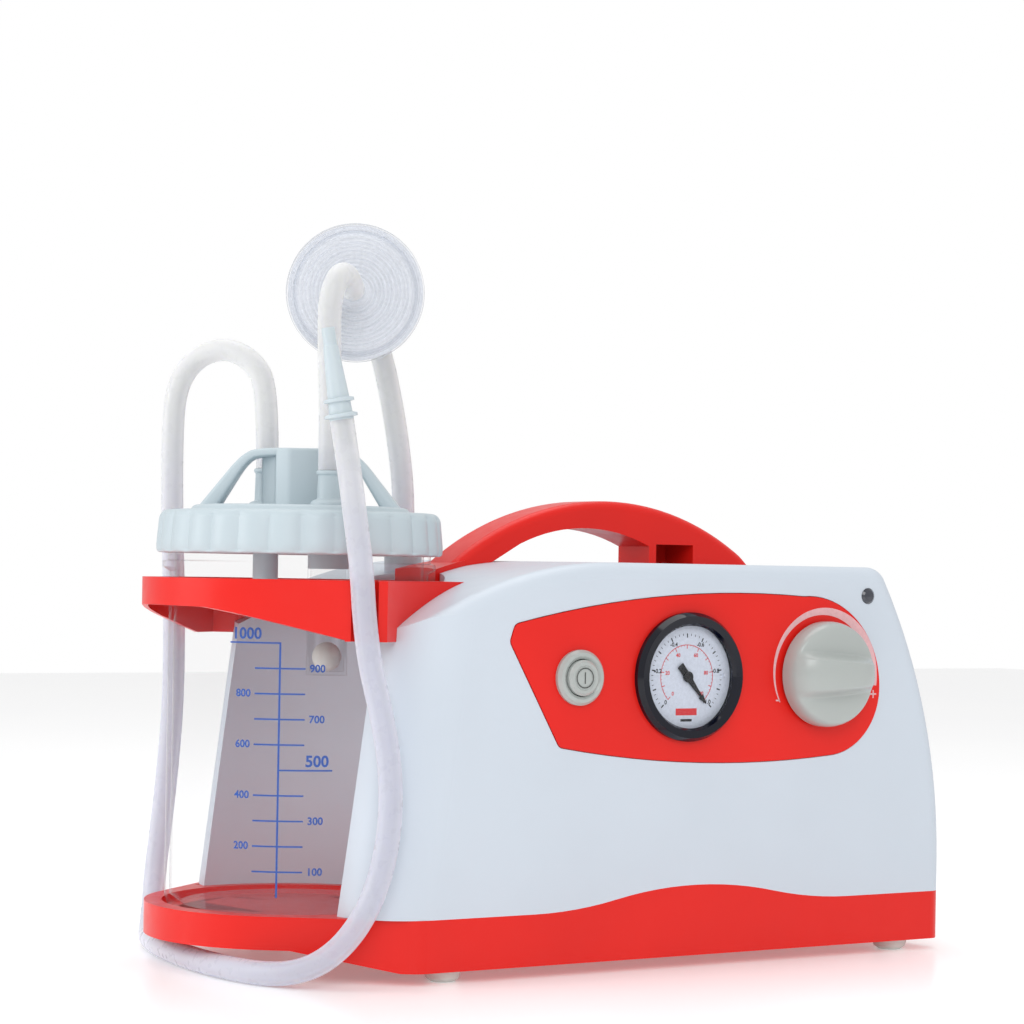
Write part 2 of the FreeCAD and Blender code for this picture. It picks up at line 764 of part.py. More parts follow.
# ---------------------------------------------------------------- jar and lid
def make_jar():
    seat = "deck_z - seat_depth"
    body = turned("jar", [
        ("0", seat), ("jar_r - 6", seat), ("jar_r - 1.6", seat + " + 1.8"), ("jar_r", seat + " + 6"),
        ("jar_r", "flange_z - 2"), ("flange_r", "flange_z"), ("flange_r", "flange_z + 2.4"),
        ("jar_r + 0.8", "flange_z + 3"), ("jar_r + 0.8", "jar_top"), ("jar_r - jar_wall", "jar_top"),
        ("jar_r - jar_wall", seat + " + 7"), ("jar_r - 7", seat + " + 3"), ("0", seat + " + 3"),
    ])
    return body


def make_lid():
    """Screw lid with a raised disc, a strap handle over a block, and two hose ports."""
    r, wall = size("lid_r"), size("lid_wall")
    low, top = size("lid_bottom"), size("lid_top")
    disc, rise = size("disc_r"), size("disc_rise")
    inner = size("jar_r + 0.8 + 0.4")
    cup = revolved([
        (0, top - wall), (inner, top - wall), (inner, low), (r, low), (r - 0.6, top - 1.5), (r - 2, top),
        (disc + 1, top), (disc, top + rise), (0, top + rise),
    ])
    deck = top + rise
    reach, peak, thick = size("strap_reach"), size("strap_top"), size("strap_thick")
    shoulder = reach * 0.52
    outer = [Vector(-reach, 0, deck - 1), Vector(-shoulder, 0, peak - 1.5), Vector(-shoulder + 6, 0, peak),
             Vector(shoulder - 6, 0, peak), Vector(shoulder, 0, peak - 1.5), Vector(reach, 0, deck - 1)]
    toe, knee, roof = reach - thick * 1.7, shoulder - thick * 0.6, peak - thick - 1.5
    inside = [Vector(toe, 0, deck - 1), Vector(knee, 0, roof), Vector(-knee, 0, roof), Vector(-toe, 0, deck - 1)]
    width = size("strap_width") / 2
    strap = cross_prism(polygon(outer + inside), -width, width)
    left, front, right, back = (size("block_" + side) for side in ("left", "front", "right", "back"))
    hub = block(left, front, deck - 1, right, back, peak)
    lid = cup.fuse([strap, hub])
    for x, y, peak_z in ports():
        flange = Part.makeCylinder(size("port_r") + 4, 3, Vector(x, y, deck - 1))
        cone = Part.makeCone(size("port_r") + 1.1, size("port_r"), peak_z - deck + 1, Vector(x, y, deck - 1))
        nose = Part.makeCylinder(size("bore_r - spigot_play"), size("nose_long"), Vector(x, y, peak_z))
        lid = lid.fuse([flange, cone, nose])
    stem_x, stem_y, _ = ports()[0]
    stem_low = size("stem_bottom")
    stem = Part.makeCylinder(size("stem_r"), top - stem_low, Vector(stem_x, stem_y, stem_low))
    cage_x, cage_y, _ = ports()[1]
    flange = size("flange_z")
    socket = Part.makeCylinder(size("cage_r"), top - flange, Vector(cage_x, cage_y, flange))
    lid = lid.fuse([stem, socket])
    for x, y, peak_z in ports():
        lid = lid.cut(Part.makeCylinder(1.9, 200, Vector(x, y, 100)))
    lid = lid.cut(Part.makeCylinder(size("cage_r") - 1.4, 8, Vector(cage_x, cage_y, size("flange_z") - 1)))
    lid.rotate(Vector(0, 0, 0), Vector(0, 0, 1), size("lid_turn"))
    return feature("lid", lid)


def ports():
    """The lid's two hose ports in its own frame: the patient's and the vacuum one."""
    return [
        (size("patient_port_x"), size("patient_port_y"), size("patient_port_top")),
        (size("vacuum_port_x"), size("vacuum_port_y"), size("vacuum_port_top")),
    ]


def make_lid_gasket():
    top = "lid_top - lid_wall"
    inner = "jar_r - jar_wall"
    return turned("lid_gasket", [
        (inner, "jar_top"), ("jar_r + 0.8", "jar_top"), ("jar_r + 0.8", top), (inner, top),
    ])


def make_float():
    """Overflow valve: a clear slotted cage under the vacuum port, with a ball inside it."""
    x, y, _ = ports()[1]
    outer, low, high = size("cage_r"), size("cage_bottom"), size("flange_z")
    cage = Part.makeCylinder(outer, high - low, Vector(x, y, low))
    cage = cage.cut(Part.makeCylinder(outer - 1.3, high, Vector(x, y, low + 1.6)))
    for turn in (0, 60, 120):
        window = block(-outer - 1, -1.8, low + 8, outer + 1, 1.8, high - 8)
        window.Placement = Placement(Vector(x, y, 0), Rotation(Vector(0, 0, 1), turn))
        cage = cage.cut(window)
    cage.rotate(Vector(0, 0, 0), Vector(0, 0, 1), size("lid_turn"))
    feature("float_cage", cage)
    ball = size("ball_r")
    seat = lid_place(x, y, low + 1.6 + ball + 0.05)
    feature("float_ball", Part.makeSphere(ball, seat))


# ---------------------------------------------------------------- filter, tubes and fitting
def make_filter():
    """Disc filter: two clear ribbed halves with a hose nozzle each, and a white membrane."""
    radius, half, wall = size("filter_r"), size("filter_half"), size("filter_wall")
    nozzle, reach = size("port_r"), size("nozzle_reach")
    bore = size("bore_r - spigot_play")
    tip = reach + size("nose_long")
    shell = revolved([
        (1.9, half - wall), (radius - 4, half - wall), (radius - 3, 0.4), (radius, 0.4), (radius, 2.6),
        (radius - 2, 3.4), (radius - 3.4, half), (nozzle + 2, half), (nozzle + 0.8, half + 1.4),
        (nozzle, reach), (bore, reach), (bore, tip), (1.9, tip),
    ])
    ribs = []
    for i in range(5):
        ring = 9 + 3.8 * i
        low, high = half - 0.2, half + 0.6
        ribs.append(revolved([(ring, low), (ring + 1.2, low), (ring + 1, high), (ring + 0.2, high)]))
    shell = shell.fuse(ribs)
    centre = lid_place(size("filter_x"), size("filter_y"), size("filter_z"))
    swing = Rotation(Vector(0, 0, 1), size("lid_turn"))
    front, back = shell.copy(), shell.copy()
    front.Placement = Placement(centre, swing.multiply(FACING_FRONT))
    back.Placement = Placement(centre, swing.multiply(FACING_BACK))
    feature("filter_front_shell", front)
    feature("filter_back_shell", back)
    membrane = Part.makeCylinder(radius - 0.6, 0.8, Vector(0, 0, -0.4))
    membrane.Placement = Placement(centre, swing.multiply(FACING_FRONT))
    feature("filter_membrane", membrane)


PATIENT_ROUTE = [
    (-0.9, 30.2, 214), (-0.9, 30.2, 249.6), (-5.4, 39, 263.1), (-12.7, 53.1, 268.3), (-20, 67.3, 263.1),
    (-24.5, 76.1, 249.6), (-24.2, 78.6, 222), (-22.4, 80.6, 188), (-20, 82, 150), (-19, 83.6, 110),
    (-20, 85.8, 80), (-22, 87.6, 53), (-24.5, 88, 31.4), (-27.2, 83.8, 19.3), (-32, 75.8, 10),
    (-37.8, 65.2, 5), (-43, 49, 5), (-48, 27, 5), (-51.2, 2, 5), (-52, -24, 5), (-50, -45, 5),
    (-46, -60, 5), (-39.5, -71.5, 6), (-31, -79.6, 10), (-22.5, -85, 18), (-14.8, -88.6, 30),
    (-8.8, -90.8, 46), (-5.2, -91.4, 66), (-4.6, -90, 88), (-6.8, -86.2, 110), (-9.8, -80.6, 131),
    (-11.2, -77.6, 150), (-12.2, -76.6, 170), (-14.6, -75, 190), (-17.2, -73.6, 211), (-20.2, -72, 231),
]
INLET_ROUTE = [
    (28.23, 3.42, 290), (33.58, 11.86, 290), (41.8, 17.4, 284), (48.5, 19.6, 271.5), (54.8, 21.2, 254),
    (61, 23.6, 233), (66, 26.4, 212), (68, 28, 196), (68, 28, 181),
]
FILTER_ROUTE = [
    (-1.6, -28.6, 212), (-1.6, -28.6, 233), (-4.2, -32.2, 251.5), (-7.2, -36.4, 267), (-9.2, -39.8, 278.9),
    (-9.2, -42.1, 286.9), (-4.9, -39.8, 293.7), (1.6, -34.8, 295.3), (7.4, -29.4, 290), (11.06, -23.62, 290),
]
ARC_SHARE = 0.45


def route_wire(points, name):
    """Straight runs joined by tangent arcs, each as large as its two runs allow."""
    corners = [Vector(*p) for p in points]
    edges, radii, start = [], [], corners[0]
    for before, corner, after in zip(corners, corners[1:], corners[2:]):
        back, on = before.sub(corner), after.sub(corner)
        cut = ARC_SHARE * min(back.Length, on.Length)
        back.normalize()
        on.normalize()
        turn = math.pi - back.getAngle(on)
        radius = cut / math.tan(turn / 2)
        radii.append(radius)
        first = corner.add(Vector(back).multiply(cut))
        last = corner.add(Vector(on).multiply(cut))
        bisector = back.add(on).normalize()
        middle = corner.add(bisector.multiply(math.hypot(cut, radius) - radius))
        edges.append(Part.LineSegment(start, first).toShape())
        edges.append(Part.Arc(first, middle, last).toShape())
        start = last
    edges.append(Part.LineSegment(start, corners[-1]).toShape())
    print("%s: length %.0f, bend radii %s" % (name, sum(e.Length for e in edges), [round(r) for r in radii]))
    return Part.Wire(edges)


def hose(points, outer, inner, name):
    """A round hose swept along a route; its volume is compared with section times length."""
    path = route_wire(points, name)
    start = Vector(*points[0])
    along = Vector(*points[1]).sub(start)
    skins = []
    for radius in (outer, inner):
        ring = Part.Wire(Part.makeCircle(radius, start, along))
        skins.append(path.makePipeShell([ring], True, False))
    tube = skins[0].cut(skins[1])
    ideal = math.pi * (outer ** 2 - inner ** 2) * path.Length
    print("   volume over section times length: %.4f" % (tube.Volume / ideal))
    return tube


def make_tubes():
    outer, inner = size("tube_r"), size("bore_r")
    feature("patient_tube", hose(PATIENT_ROUTE, outer, inner, "patient_tube"))
    feature("filter_to_pump_tube", hose(INLET_ROUTE, outer, inner, "filter_to_pump_tube"))
    feature("lid_to_filter_tube", hose(FILTER_ROUTE, outer, inner, "lid_to_filter_tube"))


def make_conical_fitting():
    """Tapered catheter connector on the free end of the patient tube."""
    last, before = Vector(*PATIENT_ROUTE[-1]), Vector(*PATIENT_ROUTE[-2])
    along = last.sub(before)
    play = size("bore_r - spigot_play")
    long = size("fitting_long")
    cone = revolved([
        (1.6, -10), (play, -10), (play, 0), (5.0, 0), (5.0, 0.9), (6.8, 1.1), (6.8, 2.3), (4.9, 2.9),
        (4.6, 7.2), (6.3, 7.5), (6.3, 8.7), (4.5, 9.2), (3.1, long - 8), (2.75, long - 7),
        (2.75, long), (1.6, long),
    ])
    cone.Placement = Placement(last, Rotation(Vector(0, 0, 1), along))
    return feature("conical_fitting", cone)


def make_inlet_nozzle():
    """Barbed vacuum inlet on top of the housing, behind the handle's root."""
    play = "bore_r - spigot_play"
    return turned("vacuum_inlet_nozzle", [
        ("1.9", "-22"), ("4.8", "-22"), ("4.8", "-8"), ("boss_r", "-8"), ("boss_r", "-5"), ("5.4", "-4.4"),
        ("5", "0"), (play, "0"), (play, "nose_long"), ("1.9", "nose_long"),
    ], "inlet_x", "inlet_y", "inlet_top")


# ---------------------------------------------------------------- front controls
def make_gauge():
    """Vacuum gauge: case, dial, needle, lens, bezel and hose stem, all on one axis."""
    face = "-half_depth - panel_proud"
    x, z = "gauge_x", "control_z"
    turned("gauge_case", [
        ("0", "-case_depth"), ("case_r - 3", "-case_depth"), ("case_r", "-case_depth + 3"), ("case_r", "0"),
        ("bezel_r - 2", "0"), ("bezel_r - 2", "1.4"), ("case_r - 1.6", "1.4"),
        ("case_r - 1.6", "-case_depth + 4"), ("0", "-case_depth + 4"),
    ], x, face, z, FACING_FRONT)
    turned("gauge_bezel", [
        ("bezel_r - 2", "0"), ("bezel_r", "0"), ("bezel_r", "bezel_proud - 2.4"),
        ("bezel_r - 1.6", "bezel_proud"),
        ("dial_r + 0.8", "bezel_proud - 0.4"), ("dial_r - 0.2", "bezel_proud - 2"),
        ("dial_r - 0.2", "bezel_proud - 2.2"),
        ("bezel_r - 2", "bezel_proud - 2.2"),
    ], x, face, z, FACING_FRONT)
    turned("gauge_lens", [
        ("0", "bezel_proud - 3.2"), ("bezel_r - 2.2", "bezel_proud - 3.2"),
        ("bezel_r - 2.2", "bezel_proud - 2.2"),
        ("0", "bezel_proud - 2.2"),
    ], x, face, z, FACING_FRONT)
    dial = turned("gauge_dial", [
        ("1.4", "-1.6"), ("dial_r + 0.8", "-1.6"), ("dial_r + 0.8", "-0.8"), ("1.4", "-0.8"),
    ], x, face, z, FACING_FRONT)
    pin = circles(dial, "XY_Plane", [("19.6", "0.6", "0.6")], "-0.8")
    pad(dial, pin, "1.2")
    turned("gauge_stem", [
        ("1.2", "-case_depth - 14"), ("2.4", "-case_depth - 14"), ("2.4", "-case_depth - 6"),
        ("5", "-case_depth - 6"), ("5", "-case_depth"), ("1.2", "-case_depth"),
    ], x, face, z, FACING_FRONT)
    make_needle()


def make_needle():
    """Needle on its spindle: a thick counterweight tail and a tapering arrow."""
    face = -size("half_depth + panel_proud")
    long = size("needle_long")
    neck = long - 4.4
    flat = polygon([
        Vector(-6.4, -1.7, 0), Vector(-6.4, 1.7, 0), Vector(0, 1.5, 0), Vector(neck, 0.5, 0), Vector(neck, 1.4, 0),
        Vector(long, 0, 0), Vector(neck, -1.4, 0), Vector(neck, -0.5, 0), Vector(0, -1.5, 0),
    ])
    blade = prism(flat, 0, 0.4)
    hub = Part.makeCylinder(2.4, 0.9, Vector(0, 0, 0))
    spindle = Part.makeCylinder(1.3, 10, Vector(0, 0, -10))
    needle = blade.fuse([hub, spindle])
    swing = FACING_FRONT.multiply(Rotation(Vector(0, 0, 1), -50))
    needle.Placement = Placement(Vector(size("gauge_x"), face, size("control_z")), swing)
    return feature("gauge_needle", needle)


def make_switch():
    """Push switch: a round bezel in the panel, a domed button, its return pad and the body."""
    face = "-half_depth - panel_proud"
    x, z = "button_x", "control_z"
    hole = "switch_r - 1.6 - 0.2"
    turned("switch_bezel", [
        ("button_r + 0.35", "-7"), (hole, "-7"), (hole, "0"), ("switch_r", "0"), ("switch_r", "1.6"),
        ("switch_r - 1.2", "3"), ("button_r + 1.6", "3.2"), ("button_r + 0.35", "2.4"),
    ], x, face, z, FACING_FRONT)
    turned("power_button", [
        ("0", "-5"), ("button_r", "-5"), ("button_r", "button_proud - 1"), ("button_r - 1", "button_proud"),
        ("button_r - 2.2", "button_proud"), ("button_r - 2.6", "button_proud - 0.5"),
        ("0", "button_proud - 0.2"),
    ], x, face, z, FACING_FRONT)
    turned("button_return_pad", [
        ("2.4", "-8.6"), ("6", "-8.6"), ("5", "-7.8"), ("3.4", "-5.1"), ("0", "-5.1"), ("0", "-6"),
        ("2", "-6.2"),
    ], x, face, z, FACING_FRONT)
    body = new_body("switch_body", x, face, z, FACING_FRONT)
    square = outline(body, "XY_Plane", [("-9", "-9"), ("9", "-9"), ("9", "9"), ("-9", "9")], "-8.6")
    pad(body, square, "12", downward=True)


def make_regulator():
    """Suction regulator: a needle valve body behind the panel, its stem, nut and the knob."""
    face = "-half_depth - panel_proud"
    x, z = "knob_x", "knob_z"
    turned("regulator_body", [
        ("3.05", "-34"), ("11", "-34"), ("11", "-9"), ("5", "-9"), ("5", "3.4"), ("3.05", "3.4"),
    ], x, face, z, FACING_FRONT)
    nut = [("5.05", "0.1"), ("9", "0.1"), ("9", "2.2"), ("5.05", "2.2")]
    turned("regulator_nut", nut, x, face, z, FACING_FRONT)
    turned("regulator_stem", [
        ("0", "-30"), ("1.2", "-24"), ("3", "-20"), ("3", "16"), ("0", "16"),
    ], x, face, z, FACING_FRONT)
    knob = turned("suction_knob", [
        ("3.05", "4.4"), ("7", "4.4"), ("7", "2.6"), ("9.6", "2.6"), ("9.6", "3"), ("knob_r", "1.4"),
        ("knob_r", "4"), ("knob_r * 0.96", "8"), ("knob_r * 0.87", "12"), ("knob_r * 0.72", "15"),
        ("knob_r * 0.5", "knob_proud - 1.8"), ("knob_r * 0.25", "knob_proud - 0.4"),
        ("0", "knob_proud"), ("0", "16.1"), ("3.05", "16.1"),
    ], x, face, z, FACING_FRONT)
    for side in ("1", "-1"):
        cut = outline(knob, "YZ_Plane", [
            (side + " * 5", "9.4"), (side + " * (knob_r + 2)", "9.4"),
            (side + " * (knob_r + 2)", "knob_proud + 2"),
            (side + " * 3.4", "knob_proud + 2"),
        ])
        pocket = knob.newObject("PartDesign::Pocket", "grip_side")
        pocket.Profile = cut
        pocket.Type = 1
        pocket.Midplane = True
        pocket.Length = 100


def make_led():
    face = "-half_depth"
    turned("led_lens", [
        ("0", "-6"), ("led_r", "-6"), ("led_r", "0.2"), ("led_r - 1", "1"), ("0", "1.3"),
    ], "led_x", face, "led_z", FACING_FRONT)


# ---------------------------------------------------------------- pump and electrics
def make_pump():
    """Piston pump: motor, shaft, fan, crank, rod, piston, cylinder and head on a bracket."""
    x0, y0, z0 = size("pump_x"), size("pump_y"), size("shaft_z")
    throw = size("crank_throw")
    floor = size("base_bottom + wall")
    motor_x = x0 + 26

    def centre(x, z=z0):
        return Vector(x, y0, z)

    motor_r, long = size("motor_r"), size("motor_long")
    can = rod(motor_r, centre(motor_x), centre(motor_x + long))
    can = can.cut(rod(4.02, centre(motor_x - 1), centre(motor_x + long + 1)))
    can = can.makeFillet(1.5, [e for e in can.Edges if e.BoundBox.YLength > 2 * motor_r - 1])
    feature("motor_can", can)
    shaft = rod(4, centre(x0 - 4), centre(motor_x + long + 12))
    feature("motor_shaft", shaft)
    pin = rod(3, Vector(x0 - 14, y0 - throw, z0), Vector(x0 - 6, y0 - throw, z0))
    web = rod(9, centre(x0 - 6), centre(x0 - 4))
    feature("eccentric", web.fuse(pin))
    make_fan(motor_x + long + 6, y0, z0)
    case_low, case_high = z0 - 24, z0 + 24
    crankcase = block(x0 - 18, y0 - 20, case_low, motor_x, y0 + 20, case_high)
    crankcase = crankcase.cut(block(x0 - 15, y0 - 17, case_low + 3, motor_x - 3, y0 + 17, case_high + 1))
    crankcase = crankcase.fuse(block(x0 - 18, y0 - 20, case_high - 3, motor_x, y0 + 20, case_high))
    bore = size("cylinder_r")
    pin_x = x0 - 10
    crankcase = crankcase.cut(rod(bore - 1, centre(pin_x, case_high - 5), centre(pin_x, case_high + 1)))
    crankcase = crankcase.cut(rod(4.02, centre(x0), centre(motor_x + 1)))
    feature("pump_crankcase", crankcase)
    cylinder = rod(bore + 3, centre(pin_x, case_high), centre(pin_x, case_high + 22))
    for i in range(3):
        fin = case_high + 5 + 5 * i
        cylinder = cylinder.fuse(rod(bore + 6, centre(pin_x, fin), centre(pin_x, fin + 1.4)))
    cylinder = cylinder.cut(rod(bore, centre(pin_x, case_high - 1), centre(pin_x, case_high + 23)))
    feature("pump_cylinder", cylinder)
    crown = case_high + 12
    piston = rod(bore - size("piston_gap") - 0.6, centre(pin_x, crown - 7), centre(pin_x, crown))
    ring = rod(bore - size("piston_gap"), centre(pin_x, crown - 5), centre(pin_x, crown - 3))
    groove = rod(bore - 2.6, centre(pin_x, crown - 5), centre(pin_x, crown - 3))
    feature("piston", piston.cut(ring.cut(groove)))
    feature("piston_seal", ring.cut(groove))
    big_end = rod(12.4, centre(pin_x - 2.6), centre(pin_x + 2.6))
    big_end = big_end.cut(rod(9.6, centre(pin_x - 4), centre(pin_x + 4)))
    shank = block(pin_x - 2.6, y0 - 3, z0 + 11, pin_x + 2.6, y0 + 3, crown - 7)
    feature("connecting_rod", big_end.fuse(shank))
    make_head(pin_x, y0, case_high + 22)
    make_bracket(x0, motor_x + long, y0, floor)


def make_fan(x, y, z):
    """Cooling fan: a hub with seven flat blades on the motor's rear shaft end."""
    hub = rod(7, Vector(x, y, z), Vector(x + 5, y, z)).cut(rod(4, Vector(x - 1, y, z), Vector(x + 6, y, z)))
    blades = []
    for i in range(7):
        blade = block(0, -0.8, 6, 5, 0.8, 19)
        blade.rotate(Vector(2.5, 0, 12), Vector(0, 0, 1), 32)
        blade.rotate(Vector(0, 0, 0), Vector(1, 0, 0), 360 * i / 7)
        blade.translate(Vector(x, y, z))
        blades.append(blade)
    fan = hub.fuse(blades).cut(rod(4, Vector(x - 4, y, z), Vector(x + 9, y, z)))
    feature("cooling_fan", fan)


def make_head(x, y, z):
    """Cylinder head with its intake and exhaust barbs, and the four screws that hold it."""
    head = block(x - 20, y - 20, z, x + 20, y + 20, z + 9)
    head = head.makeFillet(4, [e for e in head.Edges if e.BoundBox.ZLength > 8.9])
    for side in (-1, 1):
        port = Vector(x, y + side * 19, z + 4.5)
        barb = rod(2.4, port, port.add(Vector(0, side * 10, 0)))
        drill = rod(1.2, Vector(x, y + side * 8, z + 4.5), port.add(Vector(0, side * 11, 0)))
        head = head.fuse(barb).cut(drill)
    screws = []
    for dx in (-15.5, 15.5):
        for dy in (-15.5, 15.5):
            hole = rod(1.6, Vector(x + dx, y + dy, z - 1), Vector(x + dx, y + dy, z + 10))
            head = head.cut(hole)
            screws.append(rod(1.6, Vector(x + dx, y + dy, z), Vector(x + dx, y + dy, z + 9)).fuse(
                rod(2.9, Vector(x + dx, y + dy, z + 9), Vector(x + dx, y + dy, z + 11.4))))
    feature("cylinder_head", head)
    feature("head_screws", Part.makeCompound(screws))


def make_bracket(x0, x1, y, floor):
    """Steel bracket under the pump and the four rubber mounts that carry it."""
    plate_z = floor + 9
    motor_r, z0 = size("motor_r"), size("shaft_z")
    plate = block(x0 - 20, y - 26, plate_z, x1 + 2, y + 26, plate_z + 2)
    riser = block(x0 - 16, y - 18, plate_z + 2, x0 + 24, y + 18, z0 - 24)
    cradle = block(x0 + 36, y - 14, plate_z + 2, x1 - 8, y + 14, z0 - 10)
    cradle = cradle.cut(rod(motor_r, Vector(x0, y, z0), Vector(x1 + 5, y, z0)))
    feature("pump_bracket", plate.fuse([riser, cradle]))
    mounts = []
    for x in (x0 - 14, x1 - 5):
        for dy in (-20, 20):
            spot = Placement(Vector(x, y + dy, floor), UPRIGHT)
            mounts.append(revolved([(0, 0), (6, 0), (6, 2.4), (4.4, 4.5), (6, 6.6), (6, 9), (0, 9)], spot))
    feature("pump_mounts", Part.makeCompound(mounts))


def make_electrics():
    """Battery with its clamp, the charger board, and the low-voltage socket at the back."""
    x, y = size("battery_x"), size("battery_y")
    long, wide, high = size("battery_long"), size("battery_wide"), size("battery_high")
    floor = size("base_bottom + wall")
    cell = block(x, y, floor, x + long, y + wide, floor + high - 5)
    cell = cell.makeFillet(2, [e for e in cell.Edges if e.BoundBox.ZLength > high - 6])
    lid = block(x + 1, y + 1, floor + high - 5, x + long - 1, y + wide - 1, floor + high)
    rim = floor + high
    tabs = [block(x + 8, y + dy, rim, x + 16, y + dy + 5, rim + 6) for dy in (10, wide - 15)]
    feature("battery", cell.fuse([lid] + tabs))
    left, right, thick = x + long / 2 + 3, x + long / 2 + 19, 2
    strap = block(left, y - thick, floor, right, y, floor + high)
    strap = strap.fuse([
        block(left, y - thick, floor + high, right, y + wide + thick, floor + high + thick),
        block(left, y + wide, floor, right, y + wide + thick, floor + high),
        block(left, y - 12, floor, right, y - thick, floor + thick),
    ])
    feature("battery_clamp", strap)
    left, front = size("board_x"), size("board_y")
    wide_board, deep_board = size("board_long"), size("board_wide")
    top = floor + 9.6
    board = block(left, front, top - 1.6, left + wide_board, front + deep_board, top)
    components = ((6, 8, 20, 18, 16), (32, 10, 12, 12, 20), (50, 34, 16, 14, 12), (10, 36, 24, 12, 9))
    for dx, dy, w, d, high_part in components:
        board = board.fuse(block(left + dx, front + dy, top, left + dx + w, front + dy + d, top + high_part))
    for x1 in (left + 4, left + wide_board - 4):
        for y1 in (front + 4, front + deep_board - 4):
            board = board.fuse(rod(2.4, Vector(x1, y1, floor), Vector(x1, y1, top - 1.6)))
    feature("charge_board", board)
    turned("dc_socket", [
        ("2.9", "-12"), ("5.9", "-12"), ("5.9", "0"), ("8", "0"), ("8", "1.6"), ("2.9", "1.6"),
    ], "socket_x", "half_depth", "socket_z", FACING_BACK)


def make_inner_hoses():
    """Vacuum hoses inside the housing: inlet to regulator, regulator to pump, and the gauge's."""
    outer, inner = 4, 2.4
    inlet = (size("inlet_x"), size("inlet_y"), size("inlet_top") - 22)
    face = -size("half_depth + panel_proud")
    knob = (size("knob_x"), face + 34, size("knob_z"))
    gauge_back = (size("gauge_x"), face + size("case_depth") + 6, size("control_z"))
    head = (size("pump_x") - 10, size("pump_y") - 19 - 10, size("shaft_z") + 24 + 22 + 4.5)
    route = [inlet, (inlet[0], inlet[1], inlet[2] - 14), (inlet[0] + 16, inlet[1] - 12, inlet[2] - 24),
             (112, -8, 140), (150, -22, 146), (185, -36, 138), (knob[0], knob[1] + 20, knob[2]), knob]
    feature("inlet_hose", hose(route, outer, inner, "inlet_hose"))
    route = [gauge_back, (gauge_back[0], gauge_back[1] + 14, gauge_back[2]),
             (gauge_back[0] - 14, gauge_back[1] + 20, gauge_back[2] - 14),
             (head[0] + 8, head[1] - 18, head[2] + 9), (head[0], head[1] - 16, head[2]), head]
    feature("gauge_hose", hose(route, outer, inner, "gauge_hose"))


def make_muffler():
    """Exhaust silencer: a small round can on the pump head's outlet."""
    x, y, z = size("pump_x") - 10, size("pump_y") + 29, size("shaft_z") + 50.5
    can = revolved([(1.2, 0), (8, 0), (9, 2), (9, 22), (6, 26), (1.2, 26)])
    can.Placement = Placement(Vector(x, y, z), FACING_BACK)
    return feature("exhaust_silencer", can)


# ---------------------------------------------------------------- feet and screws
def make_fasteners():
    low = size("base_bottom")
    wall = size("wall")
    foot_r = size("foot_r")
    feet, screws = [], []
    for x, y in foot_places():
        spot = Placement(Vector(x, y, 0), UPRIGHT)
        feet.append(revolved([
            (3.2, 1.6), (3.2, 0), (foot_r - 3, 0), (foot_r - 0.8, 1.6), (foot_r, low), (1.6, low), (1.6, 1.6),
        ], spot))
        tip = low + wall + 4
        screws.append(revolved([(0, 0.6), (2.9, 0.6), (2.9, 1.6), (1.5, 1.6), (1.5, tip), (0, tip)], spot))
    feature("rubber_feet", Part.makeCompound(feet))
    feature("base_screws", Part.makeCompound(screws))
    seam = size("seam_y")
    head, shank = size("screw_head_r"), size("screw_r")
    long = []
    for x, z in post_places():
        spot = Placement(Vector(x, seam, z), FACING_BACK)
        profile = [(0, -14), (shank, -14), (shank, 12), (head, 12), (head, 14.4), (0, 14.4)]
        long.append(revolved(profile, spot))
    feature("shell_screws", Part.makeCompound(long))


def check_and_write():
    doc.recompute()
    for obj in doc.Objects:
        bad = [word for word in obj.State if word in ("Invalid", "Error")]
        if bad:
            raise RuntimeError("%s is %s" % (obj.Label, bad))
    os.makedirs("parts", exist_ok=True)
    for obj in pieces:
        shape = obj.Shape
        if shape.isNull() or not shape.isValid():
            raise RuntimeError("%s has no valid shape" % obj.Label)
        print("%-24s solids %d volume %.0f" % (obj.Label, len(shape.Solids), shape.Volume))
        shape.exportStep("parts/%s.step" % obj.Label)


make_base_tray()
make_shells()
make_control_panel()
make_holder()
make_jar()
make_lid()
make_lid_gasket()
make_float()
make_filter()
make_tubes()
make_conical_fitting()
make_inlet_nozzle()
make_gauge()
make_switch()
make_regulator()
make_led()
make_pump()
make_electrics()
make_inner_hoses()
make_muffler()
make_fasteners()
check_and_write()
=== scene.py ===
import json
import math

import bmesh
import bpy
import numpy as np
from mathutils import Matrix, Vector


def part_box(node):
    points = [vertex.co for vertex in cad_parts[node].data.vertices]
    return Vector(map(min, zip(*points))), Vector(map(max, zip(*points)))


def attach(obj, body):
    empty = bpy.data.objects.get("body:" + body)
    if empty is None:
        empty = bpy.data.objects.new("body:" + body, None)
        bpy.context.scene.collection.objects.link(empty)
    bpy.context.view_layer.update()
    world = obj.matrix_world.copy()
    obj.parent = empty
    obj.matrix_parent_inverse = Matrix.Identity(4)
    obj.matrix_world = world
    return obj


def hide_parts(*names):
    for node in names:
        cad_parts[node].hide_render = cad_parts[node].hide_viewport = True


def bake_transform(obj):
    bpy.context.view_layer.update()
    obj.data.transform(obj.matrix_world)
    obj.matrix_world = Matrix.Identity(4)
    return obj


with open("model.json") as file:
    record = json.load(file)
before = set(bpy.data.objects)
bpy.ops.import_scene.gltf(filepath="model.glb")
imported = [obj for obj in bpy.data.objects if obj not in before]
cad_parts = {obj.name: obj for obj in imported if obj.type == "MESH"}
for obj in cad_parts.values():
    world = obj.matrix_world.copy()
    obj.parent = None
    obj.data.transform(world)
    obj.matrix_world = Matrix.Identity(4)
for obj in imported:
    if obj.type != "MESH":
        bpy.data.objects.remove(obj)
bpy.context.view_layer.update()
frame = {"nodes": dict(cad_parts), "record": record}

MM = 0.001
TAU = 2 * math.pi
SHARP = math.radians(34)

